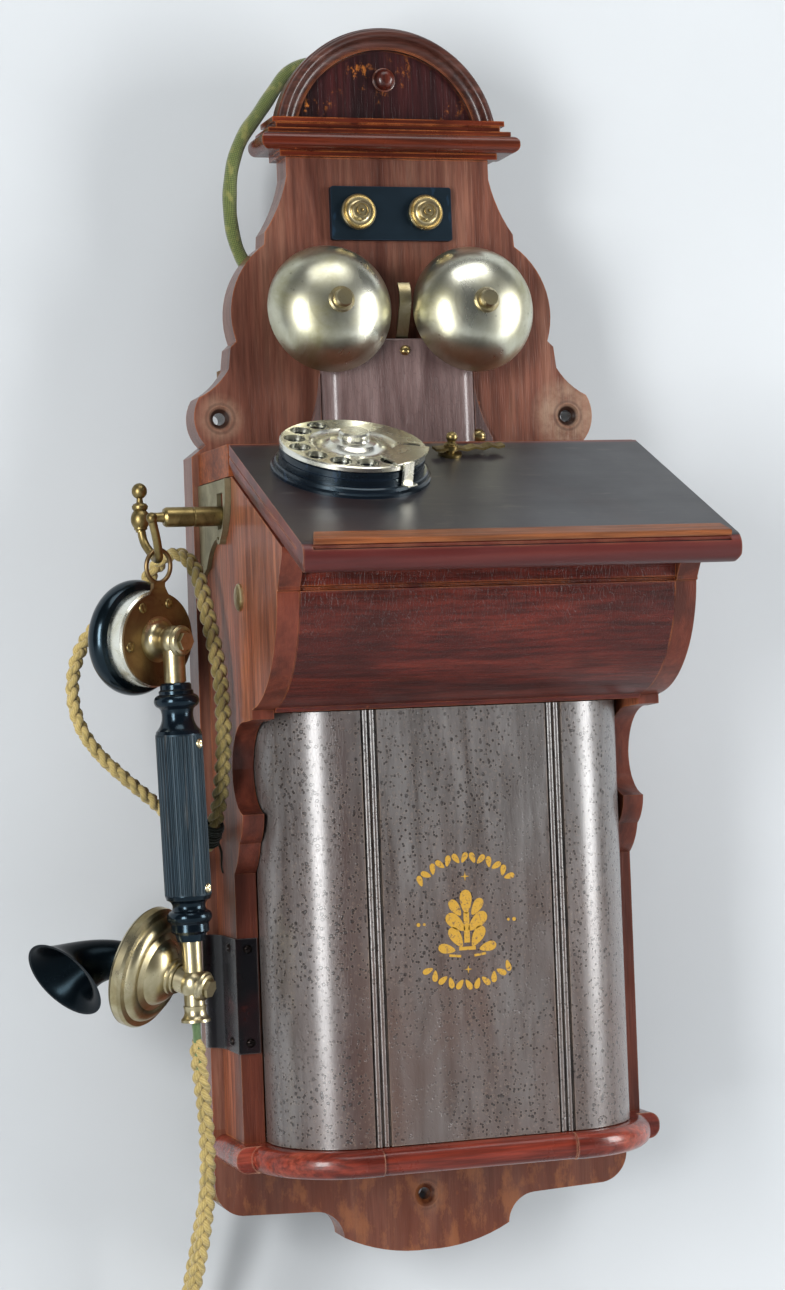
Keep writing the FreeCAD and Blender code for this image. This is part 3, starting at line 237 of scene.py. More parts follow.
def wood(name, dark, mid, light, along="Z", gloss=0.34, coat=0.25, worn=(176, 100, 52), wear=0.35, pores=0.5,
         checks=0.0, flakes=0.0, marks=False, long=0.05, lines=0.55, rim=None):
    """Polished hardwood with long grain, open pores, darker patches and edges rubbed through to bare wood.

    long is how far the grain is drawn out, lines how strong its dark lines are, flakes the share of bare
    chips, checks the depth of the crackle, and rim the colour of the faces that look forward, up or down.
    """
    p = Paint(name, coat=coat, coat_roughness=0.16, specular=0.22)
    squeeze = {"X": (long, 1, 1), "Y": (1, long, 1), "Z": (1, 1, long)}[along]
    grain_at = p.stretch(*squeeze)
    figure = p.noise(62, grain_at, detail=5, roughness=0.62, warp=0.6)
    fine = p.noise(420, grain_at, detail=3, roughness=0.6)
    colour = p.ramp(figure, (0.3, srgb(*dark)), (0.5, srgb(*mid)), (0.72, srgb(*light)))
    colour = p.mix(p.ramp(fine, (0.38, lines), (0.62, 0.0)), colour, shade(dark, 0.45))
    patches = p.noise(9, detail=3, roughness=0.5)
    colour = p.mix(p.ramp(patches, (0.35, 0.42), (0.62, 0.0)), colour, shade(dark, 0.5))
    rubbed = p.calc("MULTIPLY", p.edges(0.0015), p.ramp(p.noise(55, detail=5), (0.36, 0.0), (0.56, 1.0)))
    colour = p.mix(p.calc("MULTIPLY", rubbed, wear), colour, srgb(*worn))
    nicks = p.cells(70, p.stretch(1, 1, 0.55), feature="F1")
    nick = p.calc("MULTIPLY", p.ramp(nicks, (0.035, 1.0), (0.07, 0.0)),
                 p.ramp(p.noise(24, detail=2), (0.6, 0.0), (0.68, 1.0)))
    colour = p.mix(p.calc("MULTIPLY", nick, 0.8), colour, srgb(*worn))
    if flakes:
        speck = p.ramp(p.noise(230, p.stretch(1, 1, 0.7), detail=5, roughness=0.75), (0.53, 0.0), (0.63, 1.0))
        chip = p.calc("MULTIPLY", speck, p.ramp(p.noise(34, detail=2), (0.53, 0.0), (0.66, 1.0)))
        colour = p.mix(p.calc("MULTIPLY", chip, flakes), colour, srgb(*worn))
    if marks:
        colour = board_marks(p, colour)
    if rim:
        across = p.calc("ABSOLUTE", p.axis("X", p.facing))
        rim_colour = p.ramp(figure, (0.35, shade(rim, 0.6)), (0.65, srgb(*rim)))
        colour = p.mix(p.ramp(across, (0.3, 0.8), (0.7, 0.0)), colour, rim_colour)
    pore_at = p.stretch(*{"X": (0.035, 1, 1), "Y": (1, 0.035, 1), "Z": (1, 1, 0.035)}[along])
    pore = p.ramp(p.noise(1500, pore_at, detail=1), (0.36, 0.0), (0.5, 1.0))
    normal = p.bump(pore, 0.00008, pores)
    normal = p.bump(figure, 0.0004, 0.35, normal)
    if checks:
        cracks = p.cells(620, p.stretch(1, 1, 0.22), feature="DISTANCE_TO_EDGE")
        craze = p.ramp(cracks, (0.0, 0.0), (0.06, 1.0))
        normal = p.bump(craze, 0.0001, checks, normal)
        in_crack = p.calc("MULTIPLY", p.calc("SUBTRACT", 1.0, craze), 0.4 * checks)
        colour = p.mix(in_crack, colour, shade(dark, 0.4))
    rough = p.calc("ADD", p.calc("MULTIPLY", p.noise(30, detail=5), 0.28), gloss - 0.12)
    return p.finish(colour, rough, normal)


def pitted_wood(name, dark, mid, light):
    """Dark varnish gone grey-brown, its light grey partly painted sheen, with round dents painted dark inside
    as painted shade and light on their rims as painted highlight, fine crazing, a darker band of painted
    shade beside the left highlight band, and dark lines of painted shade in the bead channels.
    """
    p = Paint(name, coat=0.9, coat_roughness=0.24, specular=0.5)
    figure = p.noise(120, p.stretch(1, 1, 0.12), detail=5, roughness=0.6, warp=0.4)
    colour = p.ramp(figure, (0.3, srgb(*dark)), (0.52, srgb(*mid)), (0.75, srgb(*light)))
    # Browner towards the bottom; the grey left above partly stands in for sheen: painted sheen.
    down = p.calc("MULTIPLY", p.calc("ADD", p.axis("Z"), 0.17), -4.2)
    cloud = p.noise(9, p.stretch(1.6, 1, 0.6), detail=4, roughness=0.6)
    brown = p.calc("MULTIPLY", p.ramp(down, (0.15, 0.15), (0.7, 1.0)),
                   p.ramp(cloud, (0.38, 0.15), (0.62, 0.75)))
    colour = p.mix(brown, colour, srgb(76, 48, 35))
    # Darker band about x = -0.076, beside the left highlight band: painted shade.
    off_streak = p.calc("ABSOLUTE", p.calc("ADD", p.axis("X"), 0.076))
    streak = p.calc("MULTIPLY", p.ramp(p.calc("MULTIPLY", off_streak, 50), (0.4, 1.0), (1.05, 0.0)),
                   p.ramp(p.noise(30, p.stretch(1, 1, 0.2), detail=4), (0.35, 0.2), (0.6, 0.8)))
    colour = p.mix(streak, colour, srgb(52, 26, 19))
    where = p.ramp(p.noise(16, detail=3, roughness=0.6), (0.34, 0.0), (0.52, 1.0))
    small = p.ramp(p.cells(400), (0.18, 1.0), (0.32, 0.0))
    keep = p.ramp(p.cells(400, out="Color"), (0.22, 0.0), (0.28, 1.0))
    large = p.ramp(p.cells(230), (0.15, 1.0), (0.26, 0.0))
    some = p.ramp(p.cells(230, out="Color"), (0.34, 0.0), (0.38, 1.0))
    any_size = p.calc("MAXIMUM", p.calc("MULTIPLY", small, keep), p.calc("MULTIPLY", large, some))
    pits = p.calc("MULTIPLY", any_size, where)
    # Light rings round the dents: painted highlight on their rims.
    pit_rim_highlight = p.calc("MULTIPLY", p.ramp(p.cells(400), (0.32, 0.0), (0.38, 1.0), (0.46, 0.0)),
                 p.calc("MULTIPLY", keep, where))
    colour = p.mix(p.calc("MULTIPLY", pit_rim_highlight, 0.3), colour, srgb(140, 120, 104))
    # The dents are painted dark inside: painted shade.
    colour = p.mix(p.calc("MULTIPLY", pits, 0.8), colour, srgb(26, 16, 13))
    # Dark in the sunk bead channels: painted shade.
    off_beads = p.calc("ABSOLUTE", p.calc("SUBTRACT", p.calc("ABSOLUTE", p.axis("X")), BEADS_X))
    channel_shade = p.calc("MULTIPLY", p.calc("LESS_THAN", off_beads, BEADS_HALF),
                  p.calc("GREATER_THAN", p.axis("Y"), DOOR_FACE_Y))
    colour = p.mix(p.calc("MULTIPLY", channel_shade, 0.85), colour, srgb(20, 14, 12))
    rubbed = p.calc("MULTIPLY", p.edges(0.0016), p.ramp(p.noise(60, detail=4), (0.4, 0.0), (0.6, 1.0)))
    colour = p.mix(p.calc("MULTIPLY", rubbed, 0.4), colour, srgb(150, 128, 108))
    normal = p.bump(pits, -0.0007, 1.0)
    cracks = p.cells(700, p.stretch(1, 1, 0.3), feature="DISTANCE_TO_EDGE")
    craze = p.ramp(cracks, (0.0, 0.0), (0.06, 1.0))
    normal = p.bump(craze, 0.00006, 0.5, normal)
    normal = p.bump(p.noise(90, detail=3), 0.0002, 0.3, normal)
    rough = p.calc("ADD", p.calc("MULTIPLY", p.noise(40, detail=5), 0.3), 0.2)
    return p.finish(colour, rough, normal)


# Metal, hard rubber and cloth
def metal(name, bright, dull, roughness=0.22, tarnish=0.4, spots=0.3, scale=45):
    """Polished metal with cloudy tarnish, small dark spots and hairline scratches."""
    p = Paint(name, metallic=1.0)
    cloud = p.noise(scale, detail=6, roughness=0.62, warp=0.5)
    share = p.ramp(cloud, (0.5 - tarnish * 0.35, 0.0), (0.72, 1.0))
    colour = p.mix(share, srgb(*bright), srgb(*dull))
    speck = p.calc("MULTIPLY", p.ramp(p.cells(scale * 9), (0.1, 1.0), (0.2, 0.0)),
                  p.ramp(p.noise(scale * 1.6, detail=2), (0.52, 0.0), (0.66, 1.0)))
    colour = p.mix(p.calc("MULTIPLY", speck, spots), colour, shade(dull, 0.35))
    grime = p.calc("MULTIPLY", p.edges(0.0012), p.noise(scale * 4, detail=3))
    colour = p.mix(p.calc("MULTIPLY", grime, 0.5), colour, shade(dull, 0.4))
    lines = p.noise(260, p.stretch(1, 1, 0.08, turn=(0.5, 0.4, 0.3)), detail=3)
    normal = p.bump(lines, 0.00003, 0.3)
    normal = p.bump(cloud, 0.0001, 0.15, normal)
    rough = p.calc("ADD", p.calc("MULTIPLY", share, 0.16), roughness)
    rough = p.calc("ADD", rough, p.calc("MULTIPLY", lines, 0.06))
    return p.finish(colour, rough, normal)


COOL = (0.50, 0.80, 1.0, 1)  # blue tint of the light that old black rubber returns


def hard_rubber(name, base, haze, roughness=0.26, scratches=0.4, coat=0.3, specular=0.4):
    """Black moulded rubber with a faint bloom and light scratches."""
    p = Paint(name, coat=coat, coat_roughness=0.1, specular=specular)
    p.shader.inputs["Specular Tint"].default_value = COOL
    bloom = p.noise(35, detail=5, roughness=0.6)
    colour = p.mix(p.ramp(bloom, (0.42, 0.0), (0.75, 0.6)), srgb(*base), srgb(*haze))
    drawn_out = p.stretch(1, 0.12, 0.3, turn=(0.7, 0.3, 0.5))
    hair = p.ramp(p.noise(240, drawn_out, detail=2), (0.66, 0.0), (0.72, 1.0))
    colour = p.mix(p.calc("MULTIPLY", hair, scratches * 0.6), colour, shade(haze, 2.6))
    rubbed = p.calc("MULTIPLY", p.edges(0.001), p.noise(120, detail=3))
    colour = p.mix(p.calc("MULTIPLY", rubbed, 0.5), colour, shade(haze, 2.4))
    rough = p.calc("ADD", p.calc("MULTIPLY", bloom, 0.2), roughness - 0.08)
    normal = p.bump(p.noise(500, detail=2), 0.00002, 0.3)
    return p.finish(colour, rough, normal)


def flat_paint(name, a, b, roughness=0.5, scale=60, depth=0.0002):
    """Matt or satin finish with a mottled tone and a slight texture."""
    p = Paint(name)
    tone = p.noise(scale, detail=6, roughness=0.65)
    colour = p.ramp(tone, (0.35, srgb(*a)), (0.65, srgb(*b)))
    normal = p.bump(p.noise(scale * 6, detail=3), depth, 0.4)
    return p.finish(colour, p.calc("ADD", p.calc("MULTIPLY", tone, 0.2), roughness - 0.1), normal)


MAHOGANY = wood("mahogany", (46, 14, 10), (84, 30, 19), (114, 48, 29), coat=0.4)
BOARD_WOOD = wood("board_wood", (78, 40, 30), (116, 72, 58), (142, 100, 82), gloss=0.34, wear=0.6, coat=0.4,
                  marks=True, long=0.07, lines=0.35)
SIDE_WOOD = wood("side_wood", (88, 40, 25), (144, 80, 54), (176, 110, 78), gloss=0.42, coat=0.15, wear=0.8,
                 worn=(196, 122, 66), long=0.07, rim=(104, 46, 34))
DESK_WOOD = wood("desk_wood", (62, 18, 14), (96, 34, 25), (116, 48, 34), along="X", gloss=0.36, coat=0.22,
                 wear=0.6, pores=0.9, checks=1.0, long=0.09, lines=0.6)
CORNICE_WOOD = wood("cornice_wood", (48, 14, 8), (94, 35, 19), (130, 60, 34), along="X", gloss=0.26, coat=0.4,
                    wear=0.7)
ARCH_WOOD = wood("arch_wood", (46, 20, 15), (80, 46, 38), (110, 76, 66), along="X", gloss=0.34, coat=0.3,
                 wear=0.6)
SHELF_WOOD = wood("shelf_wood", (82, 26, 18), (138, 54, 38), (166, 80, 58), along="X", gloss=0.26, coat=0.4,
                  wear=0.8, worn=(176, 140, 116))
# The cover's greyish tone partly stands in for reflection of the room: painted reflection.
COVER_WOOD = wood("cover_wood", (72, 52, 51), (106, 86, 84), (128, 108, 106), gloss=0.3, coat=0.45, wear=0.4,
                  checks=0.4, long=0.12, lines=0.25)
PANEL_WOOD = wood("panel_wood", (30, 12, 14), (52, 22, 24), (78, 34, 32), gloss=0.3, coat=0.35, wear=0.2,
                  worn=(190, 112, 44), flakes=0.75)
RAIL_WOOD = wood("rail_wood", (84, 38, 20), (132, 68, 38), (160, 92, 54), along="X", gloss=0.5, coat=0.0,
                 wear=0.6)
LIP_WOOD = wood("lip_wood", (104, 52, 26), (146, 82, 42), (172, 106, 62), along="X", gloss=0.42, coat=0.1,
                wear=0.35, worn=(120, 104, 88))
BARE_WOOD = wood("bare_wood", (92, 70, 50), (126, 98, 70), (150, 120, 88), gloss=0.7, coat=0.0, wear=0.0)
# Light neutral grey, partly painted sheen.
DOOR_WOOD = pitted_wood("door_wood", (60, 55, 53), (88, 85, 84), (110, 108, 107))
GONG_NICKEL = metal("gong_nickel", (226, 227, 214), (160, 156, 124), 0.2, tarnish=0.6, spots=0.45, scale=26)
NICKEL = metal("nickel", (202, 192, 160), (150, 136, 96), 0.22, tarnish=0.55, spots=0.4, scale=60)
BRIGHT_NICKEL = metal("bright_nickel", (240, 240, 232), (206, 201, 176), 0.16, tarnish=0.45, spots=0.25,
                      scale=80)
PATINA_BRASS = metal("patina_brass", (168, 148, 98), (80, 68, 42), 0.28, tarnish=0.75, spots=0.6, scale=90)
PALE_BRASS = metal("pale_brass", (172, 164, 130), (116, 110, 86), 0.38, tarnish=0.6, spots=0.4, scale=50)
BROWN_BRASS = metal("brown_brass", (158, 138, 96), (92, 62, 46), 0.32, tarnish=0.8, spots=0.5, scale=34)
BRASS = metal("brass", (226, 212, 172), (158, 138, 92), 0.22, tarnish=0.55, spots=0.45, scale=70)
STEEL = metal("steel", (150, 148, 144), (96, 90, 84), 0.34, tarnish=0.6, spots=0.4, scale=60)
MAGNET = flat_paint("magnet_paint", (48, 20, 18), (72, 30, 26), 0.5)
EBONITE = hard_rubber("ebonite", (4, 8, 12), (10, 16, 23), 0.18, coat=0.1)
DIAL_BLACK = hard_rubber("dial_black", (6, 9, 14), (16, 22, 30), 0.24, scratches=0.7)
HORN_BLACK = hard_rubber("horn_black", (3, 6, 9), (7, 11, 16), 0.24, scratches=0.2, coat=0.0, specular=0.1)
TERMINAL_BLACK = hard_rubber("terminal_black", (8, 14, 20), (16, 26, 36), 0.42, scratches=0.3, coat=0.0,
                             specular=0.3)
COPPER_WIRE = flat_paint("coil_wrap", (40, 74, 52), (58, 96, 66), 0.6)
CARD = flat_paint("cell_card", (132, 112, 84), (156, 136, 104), 0.8)


def screw_metal():
    """Brass on the case, blackened where the screws hold the guard plate low on its left."""
    p = Paint("screw_metal", metallic=1.0)
    cloud = p.noise(90, detail=5)
    low = p.calc("LESS_THAN", p.axis("Z"), -0.2)
    brass = p.mix(cloud, srgb(206, 186, 132), srgb(132, 112, 72))
    black = p.mix(cloud, srgb(30, 26, 26), srgb(52, 46, 44))
    colour = p.mix(low, brass, black)
    return p.finish(colour, p.calc("ADD", p.calc("MULTIPLY", cloud, 0.2), 0.2), p.bump(cloud, 0.0001, 0.3))


SCREW_METAL = screw_metal()


def lid_black():
    """Lid with a black stained top gone brown in places; its edges and nosing are red-brown wood."""
    p = Paint("lid_black", coat=0.2, coat_roughness=0.3, specular=0.35)
    figure = p.noise(60, p.stretch(0.05, 1, 1), detail=5, warp=0.5)
    colour = p.ramp(figure, (0.3, srgb(18, 18, 22)), (0.7, srgb(36, 34, 38)))
    brown = p.ramp(p.noise(9, detail=4, roughness=0.6), (0.46, 0.0), (0.66, 1.0))
    colour = p.mix(p.calc("MULTIPLY", brown, 0.6), colour, srgb(52, 30, 26))
    hair = p.ramp(p.noise(150, p.stretch(0.25, 1, 1, turn=(0, 0, 0.5)), detail=3), (0.62, 0.0), (0.72, 1.0))
    colour = p.mix(p.calc("MULTIPLY", hair, 0.22), colour, srgb(104, 96, 90))
    red = p.ramp(figure, (0.3, srgb(44, 12, 11)), (0.5, srgb(76, 24, 21)), (0.7, srgb(100, 40, 30)))
    worn = p.calc("MULTIPLY", p.edges(0.002), p.ramp(p.noise(50, detail=4), (0.35, 0.0), (0.6, 1.0)))
    red = p.mix(p.calc("MULTIPLY", worn, 0.5), red, srgb(176, 120, 84))
    facing = p.add("ShaderNodeVectorMath", operation="DOT_PRODUCT")
    p.feed(facing.inputs[0], p.facing)
    facing.inputs[1].default_value = (0, -math.sin(LID_TILT), math.cos(LID_TILT))
    top = p.ramp(facing.outputs["Value"], (0.93, 0.0), (0.96, 1.0))
    behind = p.calc("GREATER_THAN", p.axis("Y"), LID_BACK_Y)
    top = p.calc("MULTIPLY", top, p.calc("SUBTRACT", 1.0, behind))
    colour = p.mix(top, red, colour)
    normal = p.bump(figure, 0.0002, 0.35)
    normal = p.bump(p.noise(900, p.stretch(0.04, 1, 1), detail=1), 0.00006, 0.5, normal)
    return p.finish(colour, p.calc("ADD", p.calc("MULTIPLY", p.noise(20, detail=5), 0.3), 0.26), normal)


def reeded_rubber():
    """Handle rubber: blue-black, its reeds rubbed grey-brown along the crests."""
    p = Paint("reeded_rubber", coat=0.05, coat_roughness=0.2, specular=0.35)
    p.shader.inputs["Specular Tint"].default_value = COOL
    streak = p.noise(340, p.stretch(1, 1, 0.06), detail=5, roughness=0.65)
    height = p.axis("Z")
    band = p.calc("MULTIPLY", p.calc("GREATER_THAN", height, -0.2625), p.calc("LESS_THAN", height, -0.1760))
    dust = p.calc("MULTIPLY", p.ramp(streak, (0.55, 0.0), (0.68, 1.0)), band)
    colour = p.mix(p.ramp(p.noise(40, detail=4), (0.4, 0.0), (0.7, 0.5)), srgb(6, 11, 17), srgb(16, 26, 36))
    colour = p.mix(p.calc("MULTIPLY", dust, 0.42), colour, srgb(92, 90, 86))
    rubbed = p.calc("MULTIPLY", p.edges(0.0008), p.noise(120, detail=3))
    colour = p.mix(p.calc("MULTIPLY", rubbed, 0.3), colour, srgb(90, 88, 84))
    rough = p.calc("ADD", p.calc("MULTIPLY", band, 0.3), 0.18)
    normal = p.bump(streak, 0.0002, 0.5)
    return p.finish(colour, rough, normal)


def tortoise():
    """Black lacquer with deep red-brown clouds."""
    p = Paint("tortoise", roughness=0.3, coat=0.12, coat_roughness=0.12, specular=0.25)
    cloud = p.noise(28, p.stretch(1, 1, 0.5), detail=4, warp=1.2)
    colour = p.ramp(cloud, (0.48, srgb(12, 10, 14)), (0.66, srgb(34, 14, 16)), (0.8, srgb(84, 30, 20)))
    rubbed = p.calc("MULTIPLY", p.edges(0.001), p.noise(90, detail=3))
    colour = p.mix(p.calc("MULTIPLY", rubbed, 0.7), colour, srgb(130, 116, 112))
    return p.finish(colour, p.calc("ADD", p.calc("MULTIPLY", p.noise(50, detail=4), 0.3), 0.1),
                    p.bump(p.noise(300, detail=3), 0.00005, 0.3))


def cotton(name, light, dark, tracer, pitch=0.012):
    """Soft cotton strand with a fine lay and a dark tracer. U goes round and V along, in metres."""
    p = Paint(name, roughness=0.9, sheen=0.3, specular=0.15)
    p.shader.inputs["Sheen Roughness"].default_value = 0.5
    uv = p.add("ShaderNodeUVMap", uv_map="round_and_along").outputs[0]
    lay = p.calc("ADD", p.axis("X", uv), p.calc("MULTIPLY", p.axis("Y", uv), 1 / pitch))
    yarn = p.calc("MULTIPLY_ADD", p.calc("SINE", p.calc("MULTIPLY", lay, math.tau * 7)), 0.5)
    line = p.ramp(p.calc("FRACT", lay), (0.0, 1.0), (0.12, 0.0))
    fuzz = p.noise(800, detail=4, roughness=0.7)
    tone = p.calc("ADD", p.calc("MULTIPLY", yarn, 0.2), p.calc("MULTIPLY", fuzz, 0.6))
    colour = p.ramp(tone, (0.15, srgb(*dark)), (0.6, srgb(*light)))
    grime = p.ramp(p.noise(24, detail=4), (0.45, 0.0), (0.75, 0.5))
    colour = p.mix(grime, colour, shade(dark, 0.62))
    # Darker strands near the case above the knot: painted shadow of the desk, and dirt.
    near_case = p.ramp(p.calc("MULTIPLY", p.calc("ADD", p.axis("X"), 0.148), 60), (0.0, 0.0), (0.6, 1.0))
    above_knot = p.ramp(p.calc("MULTIPLY", p.calc("ADD", p.axis("Z"), 0.245), 40), (0.0, 0.0), (0.8, 1.0))
    cloud = p.ramp(p.noise(60, detail=3), (0.35, 0.4), (0.65, 0.8))
    soil_and_shade = p.calc("MULTIPLY", p.calc("MULTIPLY", near_case, above_knot), cloud)
    colour = p.mix(soil_and_shade, colour, srgb(dark[0] * 0.5, dark[1] * 0.52, dark[2] * 0.42))
    colour = p.mix(p.calc("MULTIPLY", line, 0.6), colour, srgb(*tracer))
    normal = p.bump(yarn, 0.00012, 0.5)
    normal = p.bump(fuzz, 0.0002, 0.6, normal)
    return p.finish(colour, None, normal)


def braid_cloth(name, light, dark, fleck, across=12, pitch=0.0065):
    """Round woven braid over a core. U goes round and V along, in metres."""
    p = Paint(name, roughness=0.8, sheen=0.3, specular=0.25)
    uv = p.add("ShaderNodeUVMap", uv_map="round_and_along").outputs[0]
    u, v = p.axis("X", uv), p.axis("Y", uv)
    slant = p.calc("MULTIPLY", v, 3 / (pitch * across))
    one = p.calc("SINE", p.calc("MULTIPLY", p.calc("ADD", u, slant), math.tau * across))
    two = p.calc("SINE", p.calc("MULTIPLY", p.calc("SUBTRACT", u, slant), math.tau * across))
    weave = p.calc("MULTIPLY_ADD", p.calc("MULTIPLY", one, two), 0.5)
    fuzz = p.calc("MULTIPLY", p.noise(500, detail=3), 0.4)
    height = p.calc("ADD", p.calc("MULTIPLY", weave, 0.7), fuzz)
    colour = p.ramp(height, (0.25, srgb(*dark)), (0.8, srgb(*light)))
    flecks = p.ramp(p.noise(160, p.stretch(1, 1, 0.7), detail=3), (0.56, 0.0), (0.66, 1.0))
    colour = p.mix(p.calc("MULTIPLY", flecks, 0.6), colour, srgb(*fleck))
    return p.finish(colour, None, p.bump(weave, 0.0003, 0.9))


def backdrop_paper():
    """Pale grey paper, opaque from the front only, so that the telephone's back can be looked at."""
    p = Paint("backdrop_paper", roughness=0.9, specular=0.2)
    tone = p.noise(2.2, detail=3)
    paper = p.finish(p.ramp(tone, (0.3, srgb(184, 188, 191)), (0.7, srgb(192, 196, 199))), None,
                     p.bump(p.noise(300, detail=2), 0.0001, 0.1))
    one_sided = p.add("ShaderNodeMixShader")
    p.feed(one_sided.inputs[0], p.add("ShaderNodeNewGeometry").outputs["Backfacing"])
    p.feed(one_sided.inputs[1], p.shader.outputs[0])
    p.feed(one_sided.inputs[2], p.add("ShaderNodeBsdfTransparent").outputs[0])
    output = next(node for node in p.tree.nodes if node.type == "OUTPUT_MATERIAL")
    p.feed(output.inputs["Surface"], one_sided.outputs[0])
    return paper


LID_BLACK = lid_black()
REEDED = reeded_rubber()
TORTOISE = tortoise()
COTTON = cotton("cord_cotton", (190, 170, 112), (142, 122, 70), (40, 50, 34))
LINE_BRAID = braid_cloth("line_braid", (106, 116, 60), (52, 62, 34), (134, 130, 74))
SLEEVE_BRAID = braid_cloth("sleeve_braid", (104, 128, 84), (52, 78, 50), (140, 130, 70), across=10,
                           pitch=0.003)
THREAD = cotton("thread", (44, 52, 40), (22, 28, 20), (20, 22, 18), pitch=0.003)


# Finish of every CAD node
FINISH = {
    BOARD_WOOD: ["back_board"],
    BARE_WOOD: ["rear_battens", "case_floor"],
    CORNICE_WOOD: ["cornice"],
    ARCH_WOOD: ["pediment_arch"],
    RAIL_WOOD: ["top_rail"],
    PANEL_WOOD: ["pediment_panel"],
    COVER_WOOD: ["ringer_cover", "cover_wings"],
    SIDE_WOOD: ["left_side_panel", "right_side_panel"],
    DESK_WOOD: ["desk_front_panel"],
    SHELF_WOOD: ["bottom_shelf"],
    LID_BLACK: ["desk_lid"],
    LIP_WOOD: ["lid_lip"],
    DOOR_WOOD: ["battery_door"],
    MAHOGANY: ["pediment_button", "crank_knob"],
    TERMINAL_BLACK: ["terminal_plate"],
    BRASS: ["terminal_nuts", "case_bushings"],
    SCREW_METAL: ["case_screws"],
    GONG_NICKEL: ["gongs"],
    NICKEL: ["gong_nuts", "clapper", "transmitter_case", "transmitter_front", "handset_stem", "handset_neck",
             "cord_ferrule"],
    BRIGHT_NICKEL: ["dial_wheel", "dial_stop", "receiver_case"],
    PATINA_BRASS: ["switch_hook", "clip_base", "clip_arm"],
    PALE_BRASS: ["hook_plate", "hook_bracket"],
    BROWN_BRASS: ["hanger_plate"],
    STEEL: ["ringer_frame", "magneto_frame", "magneto_armature", "crank_shaft", "crank_arm", "lid_hinges",
            "drive_gear"],
    MAGNET: ["magneto_magnets"],
    EBONITE: ["receiver_cap", "receiver_unit", "transmitter_capsule"],
    REEDED: ["handset_grip"],
    HORN_BLACK: ["horn"],
    DIAL_BLACK: ["dial_base", "dial_case"],
    TORTOISE: ["guard_plate"],
    COPPER_WIRE: ["ringer_coils", "induction_coil"],
    CARD: ["dry_cells"],
}
for material, names in FINISH.items():
    for name in names:
        for slot in nodes[name].material_slots:
            slot.link = "OBJECT"
            slot.material = material


# Mesh helpers
TUBE_SIDE = (0.13, 0.9, 0.21)


def new_mesh(name, points, faces, material, body, smooth=True):
    """A piece made of the points and faces, riding on the body."""
    mesh = bpy.data.meshes.new(name)
    mesh.from_pydata([tuple(p) for p in points], [], faces)
    if smooth:
        mesh.polygons.foreach_set("use_smooth", [True] * len(mesh.polygons))
    mesh.materials.append(material)
    piece = bpy.data.objects.new(name, mesh)
    scene.collection.objects.link(piece)
    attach(piece, body)
    return piece


def smooth_line(name, route):
    """The points of the NURBS curve that has the route, in millimetres, as its control points."""
    data = bpy.data.curves.new(name, "CURVE")
    data.dimensions = "3D"
    spline = data.splines.new("NURBS")
    spline.points.add(len(route) - 1)
    for point, place in zip(spline.points, route):
        point.co = (place[0] / 1000, place[1] / 1000, place[2] / 1000, 1)
    spline.order_u = 3
    spline.use_endpoint_u = True
    spline.resolution_u = 16
    carrier = bpy.data.objects.new(name, data)
    mesh = bpy.data.meshes.new_from_object(carrier)
    line = [v.co.copy() for v in mesh.vertices]
    bpy.data.objects.remove(carrier)
    return line


def even(line, step):
    """Points of the line, a step apart."""
    out = [line[0].copy()]
    left = step
    for a, b in zip(line, line[1:]):
        run = (b - a).length
        at = 0.0
        while run - at >= left:
            at += left
            out.append(a.lerp(b, at / run))
            left = step
        left -= run - at
    return out


def frames(line, hint):
    """Tangent, side and normal at each point, carried along the line without twist."""
    side = Vector(hint)
    out = []
    for i, point in enumerate(line):
        ahead = (line[min(i + 1, len(line) - 1)] - line[max(i - 1, 0)]).normalized()
        side = (side - ahead * side.dot(ahead)).normalized()
        out.append((point, ahead, side, ahead.cross(side)))
    return out


def tube_rows(centres, radii, sides, points, faces, marks, along):
    """Adds a closed round tube to the lists; marks holds each corner's place round and along."""
    rows = frames(centres, TUBE_SIDE)
    first = len(points)
    for (point, _, side, up), radius in zip(rows, radii):
        for k in range(sides):
            angle = math.tau * k / sides
            points.append(point + (side * math.cos(angle) + up * math.sin(angle)) * radius)
    for i in range(len(rows) - 1):
        for k in range(sides):
            a, b = first + i * sides + k, first + i * sides + (k + 1) % sides
            faces.append((a, b, b + sides, a + sides))
            u0, u1 = k / sides, (k + 1) / sides
            marks.append([(u0, along[i]), (u1, along[i]), (u1, along[i + 1]), (u0, along[i + 1])])
    for row, turn in ((0, -1), (len(rows) - 1, 1)):
        ring = [first + row * sides + k for k in range(sides)][::turn]
        faces.append(tuple(ring))
        marks.append([(0.0, along[row])] * sides)


def tube_piece(name, strands, material, body, sides):
    """One mesh of round strands; each is (centres, radii)."""
    points, faces, marks = [], [], []
    for centres, radii in strands:
        along = [0.0]
        for a, b in zip(centres, centres[1:]):
            along.append(along[-1] + (b - a).length)
        tube_rows(centres, radii, sides, points, faces, marks, along)
    piece = new_mesh(name, points, faces, material, body)
    layer = piece.data.uv_layers.new(name="round_and_along")
    layer.data.foreach_set("uv", [x for face in marks for mark in face for x in mark])
    return piece


